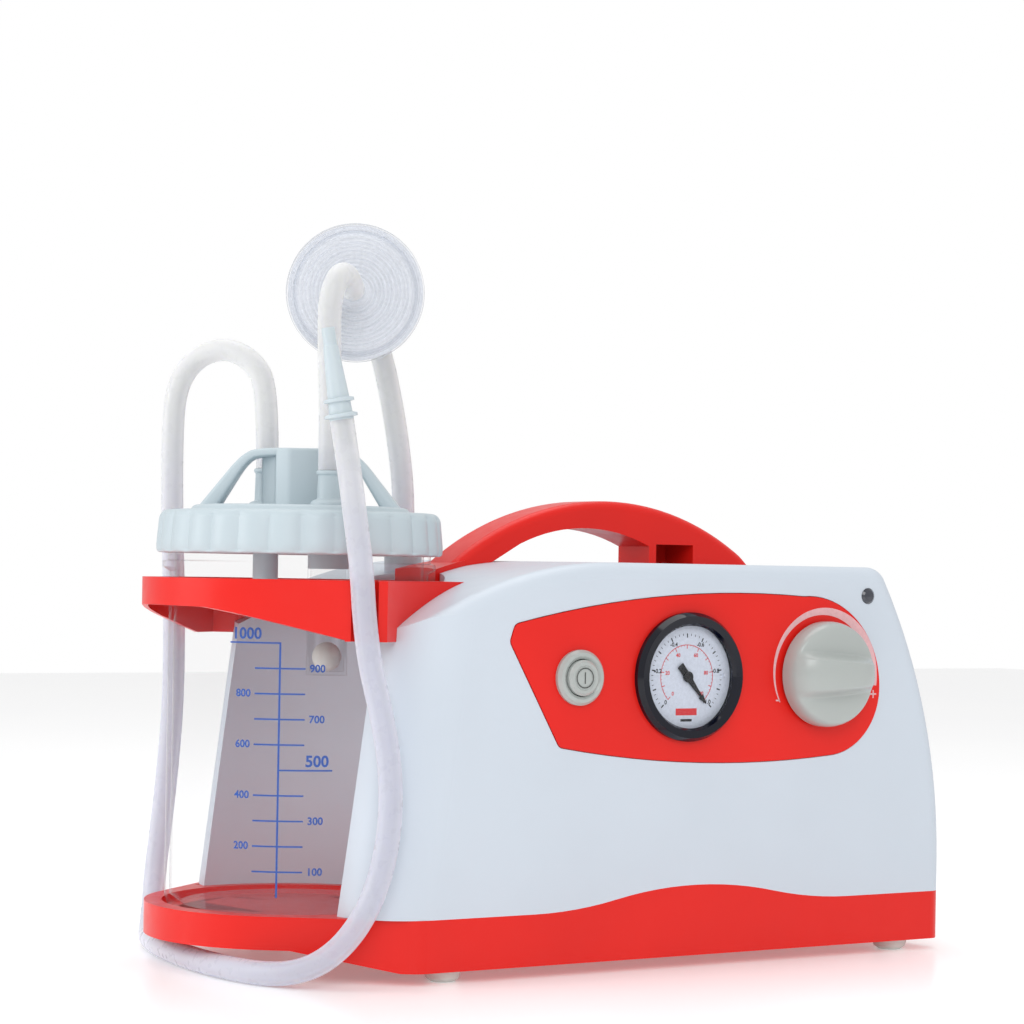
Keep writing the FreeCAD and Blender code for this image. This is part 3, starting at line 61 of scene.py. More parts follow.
# ---------------------------------------------------------------- places, all read from the frame
jar_low, jar_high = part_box("jar")
_, lid_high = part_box("lid")
bezel_low, bezel_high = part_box("gauge_bezel")
knob_low, knob_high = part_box("suction_knob")
button_low, button_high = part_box("power_button")
panel_low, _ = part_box("control_panel")
dial_low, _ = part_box("gauge_dial")

JAR_X = (jar_low.x + jar_high.x) / 2
JAR_Y = (jar_low.y + jar_high.y) / 2
GAUGE = ((bezel_low.x + bezel_high.x) / 2, (bezel_low.z + bezel_high.z) / 2)
KNOB = ((knob_low.x + knob_high.x) / 2, (knob_low.z + knob_high.z) / 2)
BUTTON = ((button_low.x + button_high.x) / 2, (button_low.z + button_high.z) / 2)
DIAL_FACE = dial_low.y + 1.2 * MM
PANEL_FACE = panel_low.y

JAR_R = 56 * MM
LID_TURN = math.radians(-32.4)
LID_R = 62 * MM
SKIRT_LOW = 176 * MM
RIM_TOP = 194.5 * MM
DECK = 197 * MM
STRAP_TOP = lid_high.z
PRINT_PROUD = 0.12 * MM


def from_axis(x, y, z):
    """A place given in metres from the jar's axis and the floor, as a place in the frame."""
    return (JAR_X + x, JAR_Y + y, z)


def lid_places(across, deep, height):
    """Arrays given along and across the lid's strap, as places in the frame."""
    c, s = math.cos(LID_TURN), math.sin(LID_TURN)
    return np.stack([JAR_X + across * c - deep * s, JAR_Y + across * s + deep * c, height], -1)


# ---------------------------------------------------------------- camera
def stand_camera():
    """A long lens a metre and a quarter away, level with the jar's shoulder, a degree off plumb."""
    data = bpy.data.cameras.new("camera")
    data.lens, data.sensor_width = 100.2, 36
    data.shift_y = 0.0566
    camera = bpy.data.objects.new("camera", data)
    bpy.context.scene.collection.objects.link(camera)
    turn = Matrix.Rotation(math.radians(-32.4), 4, "Z") @ Matrix.Rotation(math.radians(90), 4, "X")
    plumb = Matrix.Rotation(math.radians(1), 4, "Z")
    camera.matrix_world = Matrix.Translation(from_axis(-0.584, -1.092, 0.171)) @ turn @ plumb
    bpy.context.scene.camera = camera


stand_camera()


# ---------------------------------------------------------------- finishes
def shader(name):
    """A new material, its node tree's maker, and its Principled shader."""
    material = bpy.data.materials.new(name)
    material.use_nodes = True
    tree = material.node_tree
    return material, tree, tree.nodes["Principled BSDF"]


def joined(tree, kind, links=(), **settings):
    """A node of one kind with its settings made and its inputs joined."""
    node = tree.nodes.new(kind)
    for key, value in settings.items():
        setattr(node, key, value)
    for socket, source in links:
        tree.links.new(source, node.inputs[socket])
    return node


def noise(tree, scale, detail=3.0, stretch=None):
    """Noise on the piece's own place; stretch makes it streaky along an axis."""
    place = joined(tree, "ShaderNodeTexCoord").outputs["Object"]
    if stretch is not None:
        mapping = joined(tree, "ShaderNodeMapping", [("Vector", place)])
        mapping.inputs["Scale"].default_value = stretch
        place = mapping.outputs["Vector"]
    node = joined(tree, "ShaderNodeTexNoise", [("Vector", place)])
    node.inputs["Scale"].default_value = scale
    node.inputs["Detail"].default_value = detail
    return node.outputs["Fac"]


def spread(tree, source, low, high, start=0.3, end=0.7):
    """A source between start and end, carried to the range low to high."""
    node = joined(tree, "ShaderNodeMapRange", [("Value", source)])
    for socket, value in (("From Min", start), ("From Max", end), ("To Min", low), ("To Max", high)):
        node.inputs[socket].default_value = value
    return node.outputs["Result"]


def shades(tree, source, dark, light):
    """A colour that wanders between two near shades."""
    node = joined(tree, "ShaderNodeValToRGB", [("Fac", source)])
    node.color_ramp.elements[0].position = 0.3
    node.color_ramp.elements[1].position = 0.7
    node.color_ramp.elements[0].color = (*dark, 1)
    node.color_ramp.elements[1].color = (*light, 1)
    return node.outputs["Color"]


def relief(tree, surface, heights):
    """Bumps one over another, each (height source, strength, depth in metres)."""
    normal = None
    for source, strength, depth in heights:
        node = joined(tree, "ShaderNodeBump", [("Height", source)])
        node.inputs["Strength"].default_value = strength
        node.inputs["Distance"].default_value = depth
        if normal is not None:
            tree.links.new(normal, node.inputs["Normal"])
        normal = node.outputs["Normal"]
    tree.links.new(normal, surface.inputs["Normal"])


def moulded(name, colour, rough=(0.3, 0.38), grain=900, depth=0.012, coat=0.0, wander=0.05, shine=0.4):
    """Moulded plastic: a fine spark-eroded grain, and a gloss and shade that barely wander."""
    material, tree, surface = shader(name)
    fine = noise(tree, grain, 2.0)
    slow = noise(tree, 22, 2.0)
    dark = tuple(c * (1 - wander) for c in colour)
    light = tuple(min(1.0, c * (1 + wander)) for c in colour)
    tree.links.new(shades(tree, slow, dark, light), surface.inputs["Base Color"])
    tree.links.new(spread(tree, noise(tree, 160, 4.0), *rough), surface.inputs["Roughness"])
    relief(tree, surface, [(fine, 0.3, depth * MM)])
    surface.inputs["Specular IOR Level"].default_value = shine
    surface.inputs["Coat Weight"].default_value = coat
    surface.inputs["Coat Roughness"].default_value = 0.12
    return material


def see_through(name, colour, face_on, edge_on, rough=0.06, grain=0.0, ior=1.5, milky=0.0, start=0.05):
    """Clear or cloudy plastic: a wall seen face on lets light by, and an edge gathers its tint."""
    material, tree, surface = shader(name)
    darker = tuple(c * 0.96 for c in colour)
    tree.links.new(shades(tree, noise(tree, 35, 3.0), darker, colour), surface.inputs["Base Color"])
    facing = joined(tree, "ShaderNodeLayerWeight")
    facing.inputs["Blend"].default_value = 0.35
    cover = spread(tree, facing.outputs["Facing"], face_on, edge_on, start, 0.97)
    tree.links.new(cover, surface.inputs["Alpha"])
    gloss = spread(tree, noise(tree, 120, 3.0), rough, rough * 1.4 + 0.01)
    tree.links.new(gloss, surface.inputs["Roughness"])
    if grain:
        relief(tree, surface, [(noise(tree, 900, 2.0), 0.25, grain * MM)])
    surface.inputs["IOR"].default_value = ior
    surface.inputs["Subsurface Weight"].default_value = milky
    surface.inputs["Subsurface Radius"].default_value = (4 * MM, 4 * MM, 5 * MM)
    return material


def silicone():
    """Milky silicone hose: creamy above the lid and painted shade below it as a bluish tint, with fine draw
    lines along it.
    """
    material, tree, surface = shader("silicone_hose")
    place = joined(tree, "ShaderNodeTexCoord").outputs["Object"]
    height = joined(tree, "ShaderNodeSeparateXYZ", [("Vector", place)]).outputs["Z"]
    # painted shade: below about 0.16 m up the hose is coloured bluish lilac for the shadow on its lower runs,
    # fading to cream by about 0.22 m
    tint = shades(tree, spread(tree, height, 0, 1, 0.10, 0.30), (0.71, 0.72, 0.81), (0.80, 0.805, 0.81))
    tree.links.new(tint, surface.inputs["Base Color"])
    tree.links.new(spread(tree, noise(tree, 240, 3.0), 0.24, 0.36), surface.inputs["Roughness"])
    facing = joined(tree, "ShaderNodeLayerWeight")
    facing.inputs["Blend"].default_value = 0.4
    tree.links.new(spread(tree, facing.outputs["Facing"], 0.48, 0.94, 0.05, 0.8), surface.inputs["Alpha"])
    relief(tree, surface, [(noise(tree, 300, 2.0, (1, 1, 0.06)), 0.15, 0.03 * MM)])
    surface.inputs["Subsurface Weight"].default_value = 0.6
    surface.inputs["Subsurface Radius"].default_value = (5 * MM, 5 * MM, 6 * MM)
    surface.inputs["IOR"].default_value = 1.41
    return material


def metal(name, colour, rough, lines):
    """Bare metal with streaks left by the tool along X."""
    material, tree, surface = shader(name)
    streaks = noise(tree, lines, 4.0, (0.04, 1, 1))
    dark = tuple(c * 0.85 for c in colour)
    tree.links.new(shades(tree, streaks, dark, colour), surface.inputs["Base Color"])
    tree.links.new(spread(tree, streaks, rough * 0.8, rough * 1.25), surface.inputs["Roughness"])
    relief(tree, surface, [(streaks, 0.2, 0.05 * MM)])
    surface.inputs["Metallic"].default_value = 1.0
    return material


def printed(name, colour, rough=0.5):
    """Printing ink, a little uneven where the screen laid it thin."""
    material, tree, surface = shader(name)
    dark = tuple(c * 0.88 for c in colour)
    tree.links.new(shades(tree, noise(tree, 700, 3.0), dark, colour), surface.inputs["Base Color"])
    gloss = spread(tree, noise(tree, 500, 2.0), rough * 0.85, rough * 1.1)
    tree.links.new(gloss, surface.inputs["Roughness"])
    return material


FINISH = {
    "white_housing": moulded(
        "white_housing_plastic", (0.59, 0.65, 0.72), (0.34, 0.42), 900, 0.02, 0.0, 0.012,
    ),
    "red_plastic": moulded(
        "red_moulded_plastic", (0.74, 0.013, 0.008), (0.28, 0.36), 900, 0.012, 0.0, 0.03, 0.3,
    ),
    "black_gloss": moulded(
        "black_gloss_plastic", (0.002, 0.003, 0.010), (0.06, 0.10), 900, 0.002, 0.0, 0.1, 0.4,
    ),
    "dial_white": printed("dial_white_enamel", (0.66, 0.71, 0.82), 0.42),
    "clear_window": see_through("gauge_window", (0.3, 0.33, 0.37), 0.015, 0.12, 0.03),
    "needle_black": printed("needle_black_paint", (0.004, 0.004, 0.006), 0.6),
    "knob_grey": moulded("warm_grey_plastic", (0.41, 0.44, 0.425), (0.18, 0.26), 900, 0.006, 0.0, 0.02, 0.6),
    "lid_grey": moulded("lid_blue_grey_plastic", (0.50, 0.58, 0.62), (0.34, 0.44), 900, 0.02, 0.0, 0.02),
    "jar_clear": see_through(
        "clear_polycarbonate", (0.36, 0.35, 0.38), 0.025, 0.62, 0.04, 0.0, 1.58, 0.0, 0.62,
    ),
    "silicone": silicone(),
    "soft_rubber": moulded("pale_rubber", (0.62, 0.63, 0.60), (0.5, 0.6), 700, 0.03, 0.0, 0.04),
    "black_rubber": moulded("black_rubber", (0.02, 0.02, 0.022), (0.6, 0.7), 700, 0.03, 0.0, 0.1),
    "filter_clear": see_through(
        "clear_filter_shell", (0.52, 0.56, 0.64), 0.02, 0.90, 0.08, 0.0, 1.5, 0.0, 0.08,
    ),
    "membrane": printed("filter_paper", (0.86, 0.88, 0.92), 0.9),
    "steel": metal("zinc_plated_steel", (0.56, 0.57, 0.58), 0.3, 500),
    "aluminium": metal("cast_aluminium", (0.70, 0.71, 0.72), 0.42, 300),
    "black_plastic": moulded(
        "black_moulded_plastic", (0.018, 0.018, 0.02), (0.42, 0.52), 700, 0.03, 0.0, 0.1,
    ),
    "board_green": moulded("green_board", (0.015, 0.13, 0.05), (0.3, 0.4), 900, 0.02, 0.3, 0.1),
    "battery_case": moulded("grey_battery_case", (0.035, 0.04, 0.045), (0.4, 0.5), 700, 0.03, 0.0, 0.1),
    "fitting_blue": see_through("pale_blue_fitting", (0.60, 0.68, 0.72), 0.9, 0.99, 0.28, 0.02, 1.5, 0.3),
    "led_smoke": moulded("smoked_lens", (0.03, 0.035, 0.05), (0.08, 0.12), 900, 0.004, 0.8, 0.1),
}
SCALE_INK = printed("blue_scale_ink", (0.022, 0.095, 0.40), 0.4)
DIAL_BLACK = printed("black_dial_ink", (0.008, 0.008, 0.012), 0.5)
DIAL_RED = printed("red_dial_ink", (0.72, 0.03, 0.035), 0.5)
PINK_INK = printed("pale_pink_panel_ink", (0.80, 0.46, 0.48), 0.4)
# painted shadow: a dark colour standing for the shade inside the button sign's groove
PAINTED_GROOVE_SHADOW = printed("button_groove_shadow", (0.07, 0.075, 0.07), 0.6)


def finish_cad_pieces():
    """Each carried-over node takes its finish from its slot in the record."""
    for part in frame["record"]["subparts"]:
        mesh = frame["nodes"][part["node"]].data
        mesh.materials.clear()
        mesh.materials.append(FINISH[part["material_slot"]])


finish_cad_pieces()
frame["nodes"]["jar"].visible_shadow = False
frame["nodes"]["jar"].visible_diffuse = False


# ---------------------------------------------------------------- surfaces
def grid_faces(rows, columns, wrap_rows=False, wrap_columns=True):
    """Quads between neighbouring points of a grid, joined round where it closes on itself."""
    index = np.arange(rows * columns).reshape(rows, columns)
    if wrap_rows:
        index = np.vstack([index, index[:1]])
    if wrap_columns:
        index = np.hstack([index, index[:, :1]])
    return np.stack([index[:-1, :-1], index[:-1, 1:], index[1:, 1:], index[1:, :-1]], -1).reshape(-1, 4)


def piece(name, groups, material, body, closed=True, smooth=True):
    """One object from (points, faces) groups, its doubles merged and its faces turned outwards."""
    points = np.concatenate([np.asarray(p).reshape(-1, 3) for p, _ in groups])
    starts = np.cumsum([0] + [np.asarray(p).size // 3 for p, _ in groups])
    faces = [(np.asarray(f) + s).tolist() for (_, f), s in zip(groups, starts)]
    mesh = bpy.data.meshes.new(name)
    mesh.from_pydata(points.tolist(), [], [face for group in faces for face in group])
    work = bmesh.new()
    work.from_mesh(mesh)
    bmesh.ops.remove_doubles(work, verts=work.verts, dist=2e-6)
    bmesh.ops.dissolve_degenerate(work, edges=work.edges, dist=1e-6)
    if closed:
        bmesh.ops.recalc_face_normals(work, faces=work.faces)
    work.to_mesh(mesh)
    work.free()
    if smooth:
        mesh.polygons.foreach_set("use_smooth", [True] * len(mesh.polygons))
        mesh.set_sharp_from_angle(angle=SHARP)
    mesh.materials.append(material)
    made = bpy.data.objects.new(name, mesh)
    bpy.context.scene.collection.objects.link(made)
    if body is not None:
        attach(made, body)
    return made


def softened(corners, radius, steps=5):
    """A profile whose corners are eased by a parabola reaching up to radius along each side."""
    corners = [np.array(c, float) for c in corners]
    out = [corners[0][None]]
    share = np.linspace(0, 1, steps)[:, None]
    for before, corner, after in zip(corners, corners[1:], corners[2:]):
        back, on = before - corner, after - corner
        reach_back = min(radius, np.linalg.norm(back) * 0.45)
        reach_on = min(radius, np.linalg.norm(on) * 0.45)
        first = corner + back / np.linalg.norm(back) * reach_back
        last = corner + on / np.linalg.norm(on) * reach_on
        out.append((1 - share) ** 2 * first + 2 * share * (1 - share) * corner + share ** 2 * last)
    out.append(corners[-1][None])
    return np.concatenate(out)


def turned(profile, x, y, columns=72):
    """A profile of (radius, height) carried round an upright axis."""
    angle = np.arange(columns) * TAU / columns
    radius, height = profile[:, :1], profile[:, 1:]
    points = np.stack([
        x + radius * np.cos(angle), y + radius * np.sin(angle), height + 0 * angle,
    ], -1)
    return points, grid_faces(len(profile), columns)


# ---------------------------------------------------------------- hoses
HOSE_R = 5 * MM
BORE_R = 3 * MM

PATIENT_ROUTE = [
    (-0.0009, 0.0302, 0.214), (-0.0009, 0.0302, 0.2496), (-0.0054, 0.039, 0.2631), (-0.0127, 0.0531, 0.2683),
    (-0.02, 0.0673, 0.2631), (-0.0245, 0.0761, 0.2496), (-0.0242, 0.0786, 0.222), (-0.0224, 0.0806, 0.188),
    (-0.02, 0.082, 0.15), (-0.019, 0.0836, 0.11), (-0.02, 0.0858, 0.08), (-0.022, 0.0876, 0.053),
    (-0.0245, 0.088, 0.0314), (-0.0272, 0.0838, 0.0193), (-0.032, 0.0758, 0.01), (-0.0378, 0.0652, 0.005),
    (-0.043, 0.049, 0.005), (-0.048, 0.027, 0.005), (-0.0512, 0.002, 0.005), (-0.052, -0.024, 0.005),
    (-0.05, -0.045, 0.005), (-0.046, -0.06, 0.005), (-0.0395, -0.0715, 0.006), (-0.031, -0.0796, 0.01),
    (-0.0225, -0.085, 0.018), (-0.0148, -0.0886, 0.03), (-0.0088, -0.0908, 0.046), (-0.0052, -0.0914, 0.066),
    (-0.0046, -0.09, 0.088), (-0.0068, -0.0862, 0.11), (-0.0098, -0.0806, 0.131), (-0.0112, -0.0776, 0.15),
    (-0.0122, -0.0766, 0.17), (-0.0146, -0.075, 0.19), (-0.0172, -0.0736, 0.211), (-0.0202, -0.072, 0.231),
]
INLET_ROUTE = [
    (0.02823, 0.00342, 0.29), (0.03358, 0.01186, 0.29), (0.0418, 0.0174, 0.284), (0.0485, 0.0196, 0.2715),
    (0.0548, 0.0212, 0.254), (0.061, 0.0236, 0.233), (0.066, 0.0264, 0.212), (0.068, 0.028, 0.196),
    (0.068, 0.028, 0.181),
]
FILTER_ROUTE = [
    (-0.0016, -0.0286, 0.212), (-0.0016, -0.0286, 0.233), (-0.0042, -0.0322, 0.2515),
    (-0.0072, -0.0364, 0.267), (-0.0092, -0.0398, 0.2789), (-0.0092, -0.0421, 0.2869),
    (-0.0049, -0.0398, 0.2937), (0.0016, -0.0348, 0.2953), (0.0074, -0.0294, 0.29),
    (0.01106, -0.02362, 0.29),
]


def line_of(route):
    """Points along the smooth NURBS line that a route's points control."""
    data = bpy.data.curves.new("line", "CURVE")
    data.dimensions = "3D"
    data.resolution_u = 10
    spline = data.splines.new("NURBS")
    spline.points.add(len(route) - 1)
    for point, place in zip(spline.points, route):
        point.co = (*from_axis(*place), 1)
    spline.order_u = 3
    spline.use_endpoint_u = True
    holder = bpy.data.objects.new("line", data)
    bpy.context.scene.collection.objects.link(holder)
    graph = bpy.context.evaluated_depsgraph_get()
    mesh = bpy.data.meshes.new_from_object(holder.evaluated_get(graph))
    places = np.zeros(len(mesh.vertices) * 3)
    mesh.vertices.foreach_get("co", places)
    bpy.data.objects.remove(holder)
    return places.reshape(-1, 3)


def hose(name, route, columns=28):
    """A hollow round hose: a ring square to the line, carried along it untwisted, out and back inside."""
    line = line_of(route)
    along = np.gradient(line, axis=0)
    along /= np.linalg.norm(along, axis=1)[:, None]
    side = np.cross(along[0], (0.3, 0.8, 0.1))
    sides = []
    for direction in along:
        side = side - direction * side.dot(direction)
        side /= np.linalg.norm(side)
        sides.append(side)
    sides = np.array(sides)
    other = np.cross(along, sides)
    angle = np.arange(columns) * TAU / columns
    ring = np.cos(angle)[None, :, None] * sides[:, None] + np.sin(angle)[None, :, None] * other[:, None]
    outer = line[:, None] + HOSE_R * ring
    inner = line[::-1, None] + BORE_R * ring[::-1]
    points = np.concatenate([outer, inner])
    made = piece(name, [(points, grid_faces(len(points), columns, wrap_rows=True))], FINISH["silicone"], None)
    return made, line


def lay_hoses():
    """The three free hoses; only the short one from lid to filter is carried with the jar."""
    patient, line = hose("patient_hose", PATIENT_ROUTE)
    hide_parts("patient_tube")
    low_end, high_end = from_axis(0, 0.06, 0.066), from_axis(0, 0.0936, 0.0828)
    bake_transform(patient)
    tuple(low_end)
    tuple(high_end)
    short, line = hose("lid_to_filter_hose", FILTER_ROUTE)
    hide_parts("lid_to_filter_tube")
    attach(short, "jar_unit")
    inlet, line = hose("filter_to_pump_hose", INLET_ROUTE)
    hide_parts("filter_to_pump_tube")
    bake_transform(inlet)




# ---------------------------------------------------------------- lid
def lid_cup():
    """Skirt and top: a profile carried round; its outer wall bulges in 28 lobes parted by soft grooves."""
    inner = JAR_R + 1.2 * MM
    corners = [
        (0, RIM_TOP - 2.4 * MM), (inner, RIM_TOP - 2.4 * MM), (inner, SKIRT_LOW),
        (LID_R - 0.4 * MM, SKIRT_LOW),
        (LID_R, SKIRT_LOW + 3 * MM), (LID_R - 1.2 * MM, RIM_TOP - 2.5 * MM), (LID_R - 3.4 * MM, RIM_TOP),
        (50.5 * MM, RIM_TOP + 0.2 * MM), (49 * MM, RIM_TOP - 0.5 * MM), (47.5 * MM, RIM_TOP + 0.1 * MM),
        (46.2 * MM, DECK - 0.4 * MM), (44 * MM, DECK), (0, DECK),
    ]
    profile = softened(corners, 1.6 * MM, 5)
    runs = [np.linspace(a, b, 4, endpoint=False) for a, b in zip(profile, profile[1:])]
    wall = np.concatenate(runs + [profile[-1:]])
    columns = 480
    angle = np.arange(columns) * TAU / columns
    radius, height = wall[:, :1], wall[:, 1:]
    outside = np.clip((radius - 58.4 * MM) / (2 * MM), 0, 1)
    from_foot = np.clip((height - SKIRT_LOW) / (1.5 * MM), 0, 1)
    from_rim = np.clip((RIM_TOP + 0.2 * MM - height) / (2.5 * MM), 0, 1)
    fade = from_foot * from_rim
    lobe = 1 - np.abs(np.cos(14 * angle + 0.4)) ** 0.8
    radius = radius - 1.5 * MM * lobe * outside * (0.25 + 0.75 * fade)
    points = np.stack([
        JAR_X + radius * np.cos(angle + LID_TURN),
        JAR_Y + radius * np.sin(angle + LID_TURN),
        height + 0 * angle,
    ], -1)
    return points, grid_faces(len(wall), columns)


def lid_strap():
    """A flat bar with rounded edges, carried along the handle's arch from deck to deck."""
    reach, shoulder = 42 * MM, 22.5 * MM
    thick, wide = 3.6 * MM, 15 * MM
    middle = STRAP_TOP - thick / 2
    path = softened([
        (-reach + 2 * MM, DECK - 2 * MM), (-shoulder - 1 * MM, middle - 1.6 * MM),
        (-shoulder + 8 * MM, middle), (shoulder - 8 * MM, middle),
        (shoulder + 1 * MM, middle - 1.6 * MM), (reach - 2 * MM, DECK - 2 * MM),
    ], 9 * MM, 9)
    along = np.gradient(path, axis=0)
    along /= np.linalg.norm(along, axis=1)[:, None]
    across = np.stack([-along[:, 1], along[:, 0]], -1)
    angle = np.arange(32) * TAU / 32
    round_wide = np.sign(np.cos(angle)) * np.abs(np.cos(angle)) ** 0.35 * wide / 2
    round_thick = np.sign(np.sin(angle)) * np.abs(np.sin(angle)) ** 0.5 * thick / 2
    flare = 1 + 1.1 * np.clip((STRAP_TOP - path[:, 1]) / (STRAP_TOP - DECK), 0, 1) ** 1.2
    u = path[:, :1] + across[:, :1] * round_thick * flare[:, None]
    z = path[:, 1:] + across[:, 1:] * round_thick * flare[:, None]
    points = lid_places(u, round_wide[None] * (0.85 + 0.15 * flare[:, None]), z)
    return capped(points)


def capped(points):
    """Rows of rings with a centre point closing each end."""
    first = np.repeat(points[0].mean(0)[None, None], points.shape[1], 1)
    last = np.repeat(points[-1].mean(0)[None, None], points.shape[1], 1)
    whole = np.concatenate([first, points, last])
    return whole, grid_faces(whole.shape[0], whole.shape[1])


def hub_block():
    """A seven-cornered block in the middle of the strap: it shrinks as its top edge rounds over."""
    plan = np.array([
        (-4.3, -13), (10.6, -8), (10.6, 5), (-17, 5), (-17, -1), (-10.4, -5), (-10.4, -9.5),
    ]) * MM
    middle = plan.mean(0)
    start = (plan[0] + plan[1]) / 2
    loop = softened([start, *plan[1:], plan[0], start], 1.2 * MM, 5)[:-1]
    step = np.linspace(0, math.pi / 2, 6)
    ease = 1.4 * MM
    low, high = DECK - 1 * MM, STRAP_TOP - 0.2 * MM
    inset = np.concatenate([[0], ease * (1 - np.cos(step))])
    height = np.concatenate([[low], high - ease + ease * np.sin(step)])
    share = 1 - inset[:, None] / (11 * MM)
    u = middle[0] + (loop[:, 0] - middle[0]) * share
    v = middle[1] + (loop[:, 1] - middle[1]) * share
    return capped(lid_places(u, v, height[:, None] + 0 * u))


def lid_port(across, deep, top):
    """A hose port: a collar on the deck, then a cone up to the hose's end and its spigot within."""
    corners = [
        (8.2 * MM, DECK - 1 * MM), (8.0 * MM, DECK + 1.2 * MM), (6.8 * MM, DECK + 2.2 * MM),
        (5.3 * MM, DECK + 2.6 * MM),
        (5.0 * MM, top - 2.2 * MM), (5.7 * MM, top - 1.8 * MM), (5.7 * MM, top - 0.2 * MM), (2.5 * MM, top),
        (2.5 * MM, top + 3 * MM), (0, top + 3 * MM),
    ]
    place = lid_places(np.array(across), np.array(deep), np.array(0.0))
    return turned(softened(corners, 0.6 * MM, 4), place[0], place[1], 48)


def lid_stems():
    """What hangs under the lid: the drip tube of the patient port and the socket of the float's cage."""
    stems = []
    for across, deep, radius, low in ((-17, 25, 5.6, 160), (14, -25, 8.7, 170)):
        place = lid_places(np.array(across * MM), np.array(deep * MM), np.array(0.0))
        inner = radius * MM - 1.4 * MM
        corners = [(inner, 192 * MM), (inner, low * MM), (radius * MM, low * MM), (radius * MM, 192 * MM)]
        stems.append(turned(softened(corners, 0.4 * MM, 3), place[0], place[1], 48))
    return stems


lid = piece("lid_with_strap", [
    lid_cup(),
    lid_strap(),
    hub_block(),
    lid_port(-17 * MM, 25 * MM, 214 * MM),
    lid_port(14 * MM, -25 * MM, 212 * MM),
    *lid_stems(),
], FINISH["lid_grey"], "jar_unit")
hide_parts("lid")


# ---------------------------------------------------------------- printed scale on the jar
def jar_face(across, height):
    """A print's place on the jar: across is measured round the wall from its front, height from the floor."""
    front = math.atan2(-0.844, -0.536)
    angle = front + across / JAR_R
    radius = JAR_R + PRINT_PROUD
    return np.stack([JAR_X + radius * np.cos(angle), JAR_Y + radius * np.sin(angle), height + 0 * angle], -1)


def stripe(place, left, right, low, high, steps=12):
    """A printed bar: a grid between two sides and two heights, bent onto its surface."""
    u, v = np.meshgrid(np.linspace(left, right, steps), np.linspace(low, high, 2), indexing="xy")
    return place(u, v), grid_faces(2, steps, wrap_columns=False)


def figures(text, size, place, across, height, align="CENTER"):
    """Numerals made into a mesh, then bent onto the surface at a place on it."""
    data = bpy.data.curves.new("figures", "FONT")
    data.body, data.size = text, size
    data.align_x, data.align_y = align, "CENTER"
    data.offset = size * 0.026
    data.resolution_u = 3
    holder = bpy.data.objects.new("figures", data)
    bpy.context.scene.collection.objects.link(holder)
    graph = bpy.context.evaluated_depsgraph_get()
    mesh = bpy.data.meshes.new_from_object(holder.evaluated_get(graph))
    flat = np.zeros(len(mesh.vertices) * 3)
    mesh.vertices.foreach_get("co", flat)
    flat = flat.reshape(-1, 3)
    faces = [list(p.vertices) for p in mesh.polygons]
    bpy.data.objects.remove(holder)
    return place(across + flat[:, 0], height + flat[:, 1]), faces


def mark_jar():
    """A millilitre scale: a line with a tick each hundred, small figures beside it, 500 and 1000 large."""
    line = -3.2 * MM
    groups = [stripe(jar_face, line - 0.42 * MM, line + 0.42 * MM, 33.6 * MM, 139.4 * MM, 3)]
    for hundred in range(1, 11):
        height = (44.3 + 10.53 * (hundred - 1)) * MM
        low, high = height - 0.34 * MM, height + 0.34 * MM
        if hundred == 10:
            groups.append(stripe(jar_face, line - 22 * MM, line, low, high))
            groups.append(figures("1000", 6.6 * MM, jar_face, line - 14.5 * MM, height + 3.6 * MM))
        elif hundred == 5:
            groups.append(stripe(jar_face, line, line + 22.5 * MM, low, high))
            groups.append(figures("500", 6.6 * MM, jar_face, line + 16 * MM, height + 3.6 * MM))
        else:
            side = 1 if hundred % 2 else -1
            groups.append(stripe(jar_face, line - 10.6 * MM, line + 10.6 * MM, low, high))
            groups.append(figures(str(hundred * 100), 4.4 * MM, jar_face, line + side * 15.6 * MM, height))
    piece("jar_scale_print", groups, SCALE_INK, "jar_unit", closed=False, smooth=False)


mark_jar()


# ---------------------------------------------------------------- gauge dial, button mark, panel print
def upright_face(centre, depth):
    """Places on a flat face that looks along -Y, measured across and up from a centre."""
    def place(across, up):
        across, up = np.broadcast_arrays(np.asarray(across, float), np.asarray(up, float))
        return np.stack([centre[0] + across, np.full(across.shape, depth), centre[1] + up], -1)
    return place


def arc_band(place, inner, outer, start, end, steps=48, inner_end=None, outer_end=None):
    """A flat band round a centre, clockwise from start to end degrees; its two edges may widen along it."""
    angle = np.radians(np.linspace(start, end, steps))
    share = np.linspace(0, 1, steps)
    near = inner + ((inner if inner_end is None else inner_end) - inner) * share
    far = outer + ((outer if outer_end is None else outer_end) - outer) * share
    radius = np.stack([near, far])
    return place(radius * np.sin(angle), radius * np.cos(angle)), grid_faces(2, steps, wrap_columns=False)


def ray(place, bearing, near, far, wide):
    """A flat tick pointing away from the centre on a clock bearing in degrees."""
    angle = math.radians(bearing)
    along = np.array([math.sin(angle), math.cos(angle)])
    side = np.array([along[1], -along[0]]) * wide / 2
    corners = np.array([along * near - side, along * near + side, along * far - side, along * far + side])
    points = place(corners[:, 0].reshape(2, 2), corners[:, 1].reshape(2, 2))
    return points, grid_faces(2, 2, wrap_columns=False)


